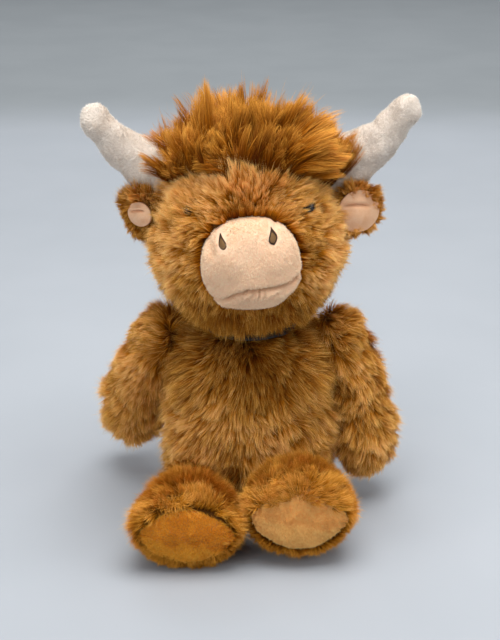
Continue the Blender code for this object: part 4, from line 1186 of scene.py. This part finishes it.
def horn_place(sign):
    bend = HORN_END_ANGLE - HORN_START_ANGLE
    radius = HORN_LENGTH / bend

    def place(along):
        angle = HORN_START_ANGLE + bend * along / HORN_LENGTH
        if along <= 0:
            start = Vector((sign * math.cos(HORN_START_ANGLE), 0, math.sin(HORN_START_ANGLE)))
            return start * along, FORWARD, Vector((-start.z * sign, 0, start.x * sign))
        x = radius * (math.sin(angle) - math.sin(HORN_START_ANGLE))
        z = radius * (math.cos(HORN_START_ANGLE) - math.cos(angle))
        up = Vector((-sign * math.sin(angle), 0, math.cos(angle)))
        return Vector((sign * x, 0, z)), FORWARD, up

    return place


def horn_rows():
    rows = ball_rows(HORN_ROOT_RADIUS * (1 + HORN_FLARE), math.radians(4), math.pi / 2, 8)
    body = HORN_LENGTH - HORN_TIP_RADIUS
    for share in np.linspace(0, 1, 31)[1:]:
        ease = (1 - math.cos(math.pi * share)) / 2
        radius = HORN_ROOT_RADIUS + (HORN_TIP_RADIUS - HORN_ROOT_RADIUS) * ease
        radius *= 1 + HORN_FLARE * (1 - share) ** 1.5
        rows.append((body * share, radius, radius, 0))
    for angle in np.linspace(0, math.pi / 2, 13)[1:]:
        radius = HORN_TIP_RADIUS * math.cos(angle)
        rows.append((body + HORN_TIP_RADIUS * math.sin(angle), radius, radius, 0))
    return rows


def make_horn(mats, side, sign):
    """A horn of short nap over velour, a little uneven where the stuffing pushes."""
    place = horn_place(sign)
    matrix = Matrix.Translation(JOINTS[f"horn_{side}_tilt"]) @ HEAD_POSE
    mesh = grid_mesh(f"horn_{side}_velour", rings_of(horn_rows(), place, 48, inset=NAP_BED), matrix)
    p = points_of(mesh)
    set_points(mesh, p + normals_of(mesh) * (0.0004 * waves(p, 0.012, 31 + sign))[:, None])
    body = f"horn_{side}_body"
    replaced = (f"horn_{side}", f"horn_filling_{side}")
    add_piece(f"horn_{side}_velour", mesh, body, mats["horn"], replaced)
    tip = np.array(matrix @ place(HORN_LENGTH)[0])
    root = np.array(matrix @ place(0)[0])
    axis = unit(tip - root)

    def flow(p, q, n):
        return np.broadcast_to(axis, p.shape) + np.array([0, 0, -0.25])

    def share(p, q):
        return 0.05 + 0.95 * smoothstep((p - root) @ axis, -0.002, 0.003)

    grow(
        f"horn_{side}_nap", mesh, body, mats["horn_nap"], "horn", 300 + sign, 60000, 0.0016, flow,
        style=NAP, share=share, lean=(0.70, 1.20), droop=0.05, lock=0.0026, wisp_gather=0.36,
        lock_gather=0.04, ruffle=0.26, ruffle_size=0.012, stray=(0.06, 0.24, 0.30), tone=0.55,
    )


def ear_matrix(side):
    sign = SIDES[side]
    turn = Matrix.Rotation(sign * EAR_TURN[side], 4, "Z") @ Matrix.Rotation(sign * EAR_DROOP, 4, "Y")
    reach = Matrix.Translation(ACROSS * sign * EAR_REACH)
    return Matrix.Translation(JOINTS[f"ear_{side}_flap"]) @ HEAD_POSE @ turn @ reach


def bowl(radius, bowl_radius, offset, swell=0, fold=0):
    """A round of cloth on a shallow bowl, swollen in its lower part and drawn in along one fold."""
    angle = np.linspace(0, 2 * math.pi, 64, endpoint=False)[None, :]
    back = math.sqrt(EAR_BOWL_RADIUS**2 - EAR_RADIUS**2)
    slope = np.linspace(0.004, 1, 22)[:, None] * math.asin(radius / bowl_radius)
    spread = bowl_radius * np.sin(slope)
    x = spread * np.cos(angle)
    z = spread * np.sin(angle)
    share = spread / radius
    y = -(back - bowl_radius * np.cos(slope) + offset) + 0 * angle
    y = y - swell * (1 - share**2) * (0.55 + 0.45 * hump(z, -0.35 * radius, 0.8 * radius))
    line = z - fold - 0.0008 * np.cos(x * 200)
    reach = 1 - smoothstep(np.abs(x + 0.002), 0.35 * radius, 0.75 * radius)
    y = y + (swell > 0) * reach * (0.0022 * hump(line, 0, 0.0009) - 0.0008 * hump(line, 0.0028, 0.0022))
    return columns(x, y, z)


def make_ear(mats, side, sign):
    """A furred back, a velour lining with a fold, and the pile round its rim."""
    matrix = ear_matrix(side)
    body = f"ear_{side}_body"
    cloth = EAR_BOWL_RADIUS - 0.0026
    front, rear = (bowl(EAR_RADIUS - 0.0022, EAR_BOWL_RADIUS, off) for off in (0.0008, -0.0008))
    lining = bowl(EAR_LINING_RADIUS + 0.0004, cloth, 0.0008, EAR_SWELL, EAR_FOLD)
    lining_back = bowl(EAR_LINING_RADIUS + 0.0004, cloth, -0.0002)
    bed = grid_mesh(f"ear_{side}_back", np.concatenate([front, rear[::-1]]), matrix)
    add_piece(f"ear_{side}_back", bed, body, mats["skin"], (f"ear_back_{side}",))
    if side == "right":
        lining, lining_back = (part * EAR_TUCK + EAR_TUCK_PLACE for part in (lining, lining_back))
    mesh = grid_mesh(f"ear_{side}_lining", np.concatenate([lining, lining_back[::-1]]), matrix)
    add_piece(f"ear_{side}_lining", mesh, body, mats["ear"], (f"ear_lining_{side}",))

    def share(p, q):
        x, y, z = q.T
        edge = smoothstep(np.hypot(x, z), 0.0112, 0.0120)
        tuft = smoothstep(z, 0.0050, 0.0070) * EAR_TUFT[side]
        return np.where(y < -0.0005, np.maximum(edge, tuft), 1.0) + 0.001

    def flow(p, q, n):
        x, _, z = q.T
        return turned(columns(x, 0 * x - 0.0006, z - 0.004), matrix)

    def length(p, q, n):
        return 0.0062 + EAR_TOP_LONGER[side] * smoothstep(q[:, 2], 0.000, 0.010)

    grow(
        f"ear_{side}_fur", bed, body, mats["fur"], "pile", 400 + sign, 16000, length, flow,
        axes=matrix, share=share, lean=(0.75, 1.20), droop=0.10, stray=(0.16, 0.14, 0.12),
        tone=EAR_TONE[side],
    )


def head_height(x, y):
    """Height of the backing of the head above its middle."""
    wide, deep, high = (half - BED for half in HEAD_HALF)
    return high * np.sqrt(np.clip(1 - (x / wide) ** 2 - (y / deep) ** 2, 0.002, 1))


def make_mane(mats):
    """A patch of extra long pile on the crown. Its locks rise and spread from a whorl over the brow."""
    wide, deep, high = (half - BED + MANE_LIFT for half in HEAD_HALF)
    angles = np.radians(np.linspace(1, 72, 40))
    rows = [(high * math.cos(a), wide * math.sin(a), deep * math.sin(a), 0) for a in angles]
    cap = grid_mesh("mane_backing", rings_of(rows, UPRIGHT, 96), close=(True, False))
    local = points_of(cap)
    if (local * normals_of(cap)).sum() < 0:
        cap.flip_normals()
    x, y, half_wide, half_deep = MANE_PATCH
    reach = np.sqrt(((local[:, 0] - x) / half_wide) ** 2 + ((local[:, 1] - y) / half_deep) ** 2)
    squeeze = 1 / np.maximum(reach, 1)
    local[:, 0] = x + (local[:, 0] - x) * squeeze
    local[:, 1] = y + (local[:, 1] - y) * squeeze
    local[:, 2] = head_height(local[:, 0], local[:, 1]) + MANE_LIFT
    set_points(cap, moved(local, HEAD))
    add_piece("mane_backing", cap, "head", mats["mane_skin"], ("mane",))

    table = np.array(MANE_LOCKS, float) / 1000
    arc = table[:, 5:6]
    root = columns(table[:, 0], table[:, 1], head_height(table[:, 0], table[:, 1]))
    outward = unit(root / np.array(HEAD_HALF) ** 2)
    tip = table[:, 2:5] - root
    rise = outward * (arc + 0.010) + 0.25 * tip
    bend = 0.72 * tip + outward * arc * 0.75

    def bezier(first, second, last, t):
        return 3 * t * (1 - t) ** 2 * first + 3 * t**2 * (1 - t) * second + t**3 * last

    def curves(q, stray, t):
        """Each strand follows a blend of the locks near its root, and gathers to the nearest one."""
        apart = ((q[:, None, :2] - root[None, :, :2]) ** 2).sum(2)
        weight = np.exp(-apart / (2 * MANE_BLEND**2)) + 1e-12
        weight = weight / weight.sum(1, keepdims=True)
        chief = np.argmax(weight, axis=1)
        mixed = [weight @ corner for corner in (rise, bend, tip)]
        rng = np.random.default_rng(515)
        size = (0.50 + 0.37 * rng.random(len(q)) ** 0.9)[:, None]
        size = size * (1 + 0.34 * smoothstep(q[:, 1], 0.014, 0.028)[:, None])
        swept = smoothstep(q[:, 0], 0.008, 0.024)[:, None]
        swing = stray * np.linalg.norm(mixed[2], axis=1, keepdims=True) * (0.85 - 0.40 * swept)
        first, second, last = (part[:, None] * size[:, None] for part in mixed)
        lines = q[:, None] + bezier(first, second + 0.5 * swing[:, None], last + swing[:, None], t)
        leader = bezier(*((part[chief] * size)[:, None] for part in (rise, bend, tip)), t)
        leader = root[chief][:, None] + leader + 0.5 * (q - root[chief])[:, None]
        lines = lines + 0.35 * t**1.5 * (leader - lines)
        return moved(lines.reshape(-1, 3), HEAD).reshape(lines.shape)

    def tone(p, q, n):
        x, y, _ = q.T
        dark = hump(x, WHORL[0], 0.014) * hump(y, WHORL[1], 0.006)
        right = smoothstep(x, 0.004, 0.026) * smoothstep(-y, 0.008, 0.018)
        middle = hump(x, -0.002, 0.014) * hump(y, -0.020, 0.014)
        left = smoothstep(-x, 0.014, 0.028)
        return 0.50 - 0.26 * dark - 0.20 * middle + 0.22 * right + 0.10 * left

    grow(
        "mane_locks", cap, "head", mats["mane"], "mane", 505, 66000, 0.03, None,
        axes=HEAD, curves=curves, tone=tone, steps=6, wide=0.00029, wisp=0.0019, lock=0.0058,
        wisp_gather=0.62, lock_gather=0.34, stray=(0.30, 0.22, 0.12), spread=0.19, pieces=4, guard=0.06,
        share=lambda p, q: np.where(in_mane(q), 1.0, 0.002),
    )


def make_ribbon(mats):
    """The ribbon lies on the slope of the shoulders, a little loose and wavy."""
    count = 160
    along = np.array([math.cos(RIBBON_SLOPE), -math.sin(RIBBON_SLOPE)])
    out = np.array([math.sin(RIBBON_SLOPE), math.cos(RIBBON_SLOPE)])
    steps = (-0.5, -0.25, 0, 0.25, 0.5)
    outline = [(step, 0) for step in steps] + [(step, 1) for step in steps[::-1]]
    rings = []
    for a in np.linspace(0, 2 * math.pi, count, endpoint=False):
        ripple = 0.0005 * math.sin(5 * a + 0.6) + 0.0003 * math.sin(11 * a)
        ring = []
        for step, lift in outline:
            offset = along * step * RIBBON_WIDTH + out * (lift * RIBBON_THICKNESS + ripple * (0.5 + step))
            radius, height = np.array([RIBBON_RADIUS, -RIBBON_DROP]) + offset
            ring.append((radius * math.cos(a), radius * math.sin(a), height))
        rings.append(ring)
    sides = len(outline)
    points = moved(np.array(rings).reshape(-1, 3), Matrix.Translation(NECK))
    index = np.arange(count * sides).reshape(count, sides)
    onward, beside = np.roll(index, -1, axis=0), np.roll(index, -1, axis=1)
    faces = np.stack([index, beside, np.roll(onward, -1, axis=1), onward], axis=-1).reshape(-1, 4)
    mesh = bpy.data.meshes.new("ribbon_loop")
    mesh.from_pydata(points.tolist(), [], faces.tolist())
    mesh.update()
    turn_outwards(mesh)
    layer = mesh.uv_layers.new(name="weave")
    uv = points[np.array([loop.vertex_index for loop in mesh.loops])][:, :2] * 18
    layer.data.foreach_set("uv", uv.astype(np.float32).ravel())
    add_piece("ribbon_loop", mesh, "neck", mats["ribbon"], ("neck_ribbon",))


def arm_place(sign):
    radius = ARM_LENGTH / ARM_BEND

    def place(along):
        angle = max(along, 0) / radius
        across = Vector((math.cos(angle), 0, -sign * math.sin(angle)))
        if along <= 0:
            return -UP * along, across, FORWARD
        return Vector((-sign * radius * (1 - math.cos(angle)), 0, -radius * math.sin(angle))), across, FORWARD

    return place


def arm_matrix(side):
    splay = Matrix.Rotation(-SIDES[side] * ARM_SPLAY[side], 4, "Y")
    back = Matrix.Rotation(ARM_BACKWARD[side], 4, "X")
    return Matrix.Translation(JOINTS[f"arm_{side}_swing"]) @ back @ splay


def make_arm(mats, side, sign):
    """An arm's backing and pile, which runs down it and parts along its outer side."""
    matrix = arm_matrix(side)
    place = arm_place(sign)
    rows = ball_rows(ARM_ROOT_RADIUS, math.radians(3), math.radians(74), 6)
    rows += [
        (share * ARM_LENGTH, wide * ARM_RADIUS * ARM_FLATNESS_SHARE, wide * ARM_RADIUS, 0)
        for share, wide in ARM_SHARES
    ]
    rows = curve_through(rows, 4)
    first = rows[0, 0]
    rows[:, 0] = np.interp(rows[:, 0], [first, 0, ARM_LENGTH], [first + ARM_BED, 0, ARM_LENGTH - ARM_BED])
    mesh = grid_mesh(f"arm_{side}_skin", rings_of(rows, place, 48, inset=ARM_BED), matrix)
    body = f"arm_{side}_body"
    replaced = (f"arm_cover_{side}", f"arm_filling_{side}")
    add_piece(f"arm_{side}_skin", mesh, body, mats["skin"], replaced)
    path = np.array([list(matrix @ place(ARM_LENGTH * k / 20)[0]) for k in range(21)])
    ways = unit(np.gradient(path, axis=0))

    def flow(p, q, n):
        x, _, z = q.T
        near = np.argmin(np.linalg.norm(p[:, None] - path[None], axis=2), axis=1)
        part = 0.45 * np.tanh((x * sign + 0.006) / 0.006) * sign
        top = smoothstep(z, -0.020, 0.006)[:, None]
        fan = columns(part, 0 * part, 0 * part) + np.array([0.12 * sign, 0, -0.10])
        inwards = smoothstep(-x * sign, -0.001, 0.008)[:, None]
        spread = np.array([0.9 * sign, 0, 0]) * (1 - 2.3 * inwards) + np.array([0, 0, 0.9]) * inwards
        return ways[near] + 0.25 * unit(p - path[near]) + fan + top * spread

    def share(p, q):
        x, _, z = q.T
        return np.where((x * sign < -0.011) & (np.abs(z + 0.002) < 0.010), 0.05, 1.0)

    def length(p, q, n):
        x, _, z = q.T
        outer = smoothstep(x * sign, -0.004, 0.008)
        hand = smoothstep(-z, 0.056, 0.080)
        return 0.0130 + smoothstep(z, -0.030, 0.004) * (0.0030 - 0.0060 * outer) - HAND_SHORTER[side] * hand

    def lean(p, q, n):
        top = smoothstep(q[:, 2], -0.020, 0.004)
        return 0.66 + 0.26 * top, 1.12 + 0.28 * top

    def tone(p, q, n):
        x, _, z = q.T
        # The side that faces the trunk is painted darker: painted shade between arm and body
        inner_shade = smoothstep(-n[:, 0] * sign, -0.2, 0.8)
        line = hump(x * sign, -0.004, 0.004) * smoothstep(-z, 0.030, 0.060)
        return ARM_TONE[side] - 0.12 * inner_shade + ARM_LINE_TONE[side] * line

    grow(
        f"arm_{side}_fur", mesh, body, mats["fur"], "pile", 600 + sign, 62000, length, flow,
        axes=matrix, share=share, tone=tone, pieces=2, lean=lean, lock=0.0062,
    )


def leg_matrix(side):
    return Matrix.Translation(JOINTS[f"leg_{side}_swing"]) @ Matrix.Rotation(-LEG_PITCH[side], 4, "X")


def sole_place(tilt):
    def place(along):
        share = min(max(along / LEG_LENGTH, 0), 1)
        lean = tilt * share**2
        return FORWARD * along, ACROSS, Vector((0, math.sin(lean), math.cos(lean)))

    return place


def make_leg(mats, side, sign):
    """A leg's backing and pile, which runs forward and spreads round the sole."""
    matrix = leg_matrix(side)
    place = sole_place(SOLE_TILT[side])
    rows = ball_rows(LEG_ROOT_RADIUS, math.radians(3), math.radians(74), 6)
    rows += [
        (share * LEG_LENGTH, wide * FOOT_HALF_WIDTH, high * FOOT_HALF_HEIGHT, 0)
        for share, wide, high in LEG_SHARES
    ]
    rows = list(curve_through(rows, 5))
    end = rows[-1]
    for shrink, ahead in ((0.0010, 0.0006), (0.0035, 0.0009), (0.0070, 0.0009)):
        rows.append((end[0] + ahead, end[1] - shrink, end[2] - shrink, 0))
    mesh = grid_mesh(f"leg_{side}_skin", rings_of(rows, place, 64, inset=LEG_BED), matrix)
    p = points_of(mesh)
    p[:, 2] = np.maximum(p[:, 2], SEAT_LIFT)
    set_points(mesh, p)
    body = f"leg_{side}_body"
    replaced = (f"leg_cover_{side}", f"leg_filling_{side}")
    add_piece(f"leg_{side}_skin", mesh, body, mats["skin"], replaced)

    def flow(p, q, n):
        x, y, z = q.T
        front = smoothstep(-y, 0.032, 0.056)[:, None]
        out = unit(columns(x, 0 * x, z)) + np.array([0, -0.45, 0])
        return turned(np.array([0, -1.0, 0]) * (1 - front) + out * front, matrix)

    def share(p, q):
        y = q[:, 1]
        hidden = (y > 0.002) | (-y > LEG_LENGTH + 0.0003)
        return np.where(hidden, 0.005, 1.0) * np.where(p[:, 2] < 0.0020, 0.20, 1.0)

    def length(p, q, n):
        _, y, z = q.T
        upper = smoothstep(z, -0.008, 0.006)
        back = 1 - smoothstep(-y, 0.030, 0.046)
        rim = smoothstep(-y, 0.046, 0.056)
        return 0.0084 + 0.0030 * upper * back + (0.0034 * upper - 0.0030 * (1 - upper)) * rim

    def lean(p, q, n):
        rim = smoothstep(-q[:, 1], 0.050, 0.058)
        return 0.38 + 0.15 * rim, 0.80 + 0.20 * rim

    def tone(p, q, n):
        # The rim's pile is paler above the sole and painted darker below it: painted shade under the foot
        upper = smoothstep(q[:, 2], -0.012, 0.004)
        return 0.47 + (0.34 * upper - 0.12) * smoothstep(-q[:, 1], 0.050, 0.058)

    grow(
        f"leg_{side}_fur", mesh, body, mats["leg_fur"], "pile", 700 + sign, 56000, length, flow,
        axes=matrix, share=share, lean=lean, tone=tone, pieces=2, droop=0.10, wisp=0.0013, lock=0.0052,
        wisp_gather=0.30, lock_gather=0.12, spread=0.17,
    )
    make_sole(mats, side, sign, matrix, place)


def make_sole(mats, side, sign, matrix, place):
    """The crowned almond of velour that closes the foot, puckered at its corners."""
    wide = LEG_SHARES[-1][1] * FOOT_HALF_WIDTH - PAD_SETBACK
    high = LEG_SHARES[-1][2] * FOOT_HALF_HEIGHT - PAD_SETBACK
    centre, across, up = (np.array(v) for v in place(LEG_LENGTH))
    out = np.array(FORWARD)
    angle = np.linspace(0, 2 * math.pi, 128, endpoint=False)
    u = np.cos(angle)
    v = np.sign(np.sin(angle)) * np.abs(np.sin(angle)) ** (PAD_POINTEDNESS + PAD_DRAWN)
    rings = []
    for share in np.linspace(0.004, 1, 36):
        edge = smoothstep(share, 0.70, 1.0)
        pucker = 0.0006 * np.sin(angle * 30) * edge * np.abs(u) ** 4
        pucker = pucker - 0.0007 * hump(u, -0.12, 0.10) * (v > 0) * edge
        rise = PAD_THICKNESS + PAD_CROWN * (1 - share**2.4) - 0.0010 * edge**3 + pucker
        spot = np.outer(u * share * wide, across) + np.outer(v * share * high, up)
        rings.append(centre + spot + np.outer(rise - NAP_BED, out))
    rings.append(rings[-1] - out * 0.0016)
    rings.append(centre + (rings[-1] - centre) * 0.6)
    mesh = grid_mesh(f"sole_{side}_velour", np.array(rings), matrix)
    p = points_of(mesh)
    set_points(mesh, p + normals_of(mesh) * (0.0003 * waves(p, 0.012, 77))[:, None])
    body = f"leg_{side}_body"
    cloth, nap = SOLE_MATERIALS[side]
    add_piece(f"sole_{side}_velour", mesh, body, mats[cloth], (f"sole_pad_{side}",))

    def share(p, q):
        return np.where(-q[:, 1] > LEG_LENGTH + 0.0008, 1.0, 0.001)

    def brushed(p, q):
        """1 where the nap is brushed up, over a wavy line. There its tone is painted lighter: painted sheen
        of the brushed nap.
        """
        line = -0.0020 - 0.16 * q[:, 0] + 0.0012 * waves(p, 0.014, 88)
        return smoothstep(q[:, 2], line - 0.0020, line + 0.0020)

    def flow(p, q, n):
        up_way = brushed(p, q)[:, None] * 1.5 - 0.6
        return up_way * np.array([0, 0, 1.0]) + np.array([0.35 * sign, 0, 0])

    grow(
        f"sole_{side}_nap", mesh, body, mats[nap], "sole", 720 + sign, 34000, 0.0015, flow,
        style=NAP, axes=matrix, share=share, tone=lambda p, q, n: 0.36 + 0.22 * brushed(p, q),
    )


def make_tail(mats):
    """A furred cord with a tuft at its end."""
    matrix = Matrix.Translation(JOINTS["tail_lift"]) @ Matrix.Rotation(TAIL_LIFT, 4, "X")
    place = straight(-UP, ACROSS, FORWARD)
    radius = TAIL_RADIUS - 0.0004
    rows = ball_rows(radius, math.radians(4), math.pi / 2, 6)
    rows += [(TAIL_CORD_LENGTH * k / 12, radius, radius, 0) for k in range(1, 13)]
    mesh = grid_mesh("tail_cord_skin", rings_of(rows, place, 20, inset=NAP_BED), matrix)
    add_piece("tail_cord_skin", mesh, "tail", mats["skin"], ("tail_cord",))

    def flow(p, q, n):
        return np.broadcast_to(turned(DOWN[None], matrix), p.shape)

    grow(
        "tail_cord_fur", mesh, "tail", mats["fur"], "pile", 801, 5000, 0.0055, flow,
        lean=(0.7, 1.15), droop=0.1,
    )
    share = np.linspace(0.01, 0.99, 14)
    swell = np.sin(math.pi * share) ** 0.7 * TAIL_TUFT_RADIUS * 0.7
    along = TAIL_CORD_LENGTH + 0.0003 + TAIL_TUFT_LENGTH * share
    rings = rings_of([(a, r, r, 0) for a, r in zip(along, swell)], place, 20)
    mesh = grid_mesh("tail_tuft_skin", rings, matrix)
    add_piece("tail_tuft_skin", mesh, "tail", mats["mane_skin"], ("tail_tuft",))
    grow(
        "tail_tuft_fur", mesh, "tail", mats["mane"], "mane", 802, 7000, 0.0120, flow,
        lean=(0.6, 1.10), droop=0.1, wisp=0.0028, wisp_gather=0.8, steps=5,
    )


def make_camera():
    data = bpy.data.cameras.new("camera")
    data.sensor_fit = "AUTO"
    data.sensor_width = SENSOR
    data.lens = FOCAL_PIXELS * SENSOR / PHOTO_HEIGHT
    data.clip_start = 0.01
    camera = bpy.data.objects.new("camera", data)
    back = Vector((0, -math.cos(CAMERA_ELEVATION), math.sin(CAMERA_ELEVATION)))
    camera.location = SHIFT + CAMERA_AIM + back * CAMERA_DISTANCE
    camera.rotation_euler = (-back).to_track_quat("-Z", "Y").to_euler()
    bpy.context.scene.collection.objects.link(camera)
    bpy.context.scene.camera = camera


def make_stage():
    """A pale blue-grey table, painted darker far behind as painted shade, a little uneven in tone."""
    mesh = bpy.data.meshes.new("table")
    corners = [(x * TABLE_REACH, y * TABLE_REACH, 0) for x, y in ((-1, -1), (1, -1), (1, 1), (-1, 1))]
    mesh.from_pydata(corners, [], [(0, 1, 2, 3)])
    floor = bpy.data.objects.new("table", mesh)
    bpy.context.scene.collection.objects.link(floor)
    n = Nodes("table_top")
    split = n.add("ShaderNodeSeparateXYZ", {"Vector": n.where()})
    low, high = TABLE_TURNS
    far = n.add(
        "ShaderNodeMapRange",
        {"Value": split.outputs["Y"], "From Min": low, "From Max": high},
        interpolation_type="SMOOTHERSTEP",
    )
    mottle = n.noise(9, 2, 0.5)
    near, back = (n.ramp(mottle, (0.35, dim), (0.65, bright)) for dim, bright in (TABLE_NEAR, TABLE_FAR_SHADED))
    n.paint(n.mix(far.outputs["Result"], near, back))
    n.set(Roughness=0.75, Specular_IOR_Level=0.25)
    mesh.materials.append(n.material)


def make_lights():
    for name, place, aim, size, power, colour in LIGHTS:
        data = bpy.data.lights.new(name, "AREA")
        data.shape = "RECTANGLE"
        data.size, data.size_y = size
        data.energy = power
        data.color = colour
        light = bpy.data.objects.new(name, data)
        light.location = SHIFT + Vector(place)
        light.rotation_euler = (SHIFT + Vector(aim) - light.location).to_track_quat("-Z", "Y").to_euler()
        bpy.context.scene.collection.objects.link(light)
    world = bpy.data.worlds.new("studio")
    bpy.context.scene.world = world
    world.use_nodes = True
    shade = world.node_tree.nodes["Background"]
    shade.inputs["Color"].default_value = WORLD_COLOUR
    shade.inputs["Strength"].default_value = WORLD_STRENGTH


def main():
    mats = make_materials()
    make_camera()
    make_stage()
    make_lights()
    for make in (make_torso, make_head, make_muzzle, make_eyes):
        make(mats)
    for make in (make_horn, make_ear):
        for side, sign in SIDES.items():
            make(mats, side, sign)
    make_mane(mats)
    make_ribbon(mats)
    for make in (make_arm, make_leg):
        for side, sign in SIDES.items():
            make(mats, side, sign)
    make_tail(mats)
    bpy.context.scene.view_settings.view_transform = "Standard"


main()
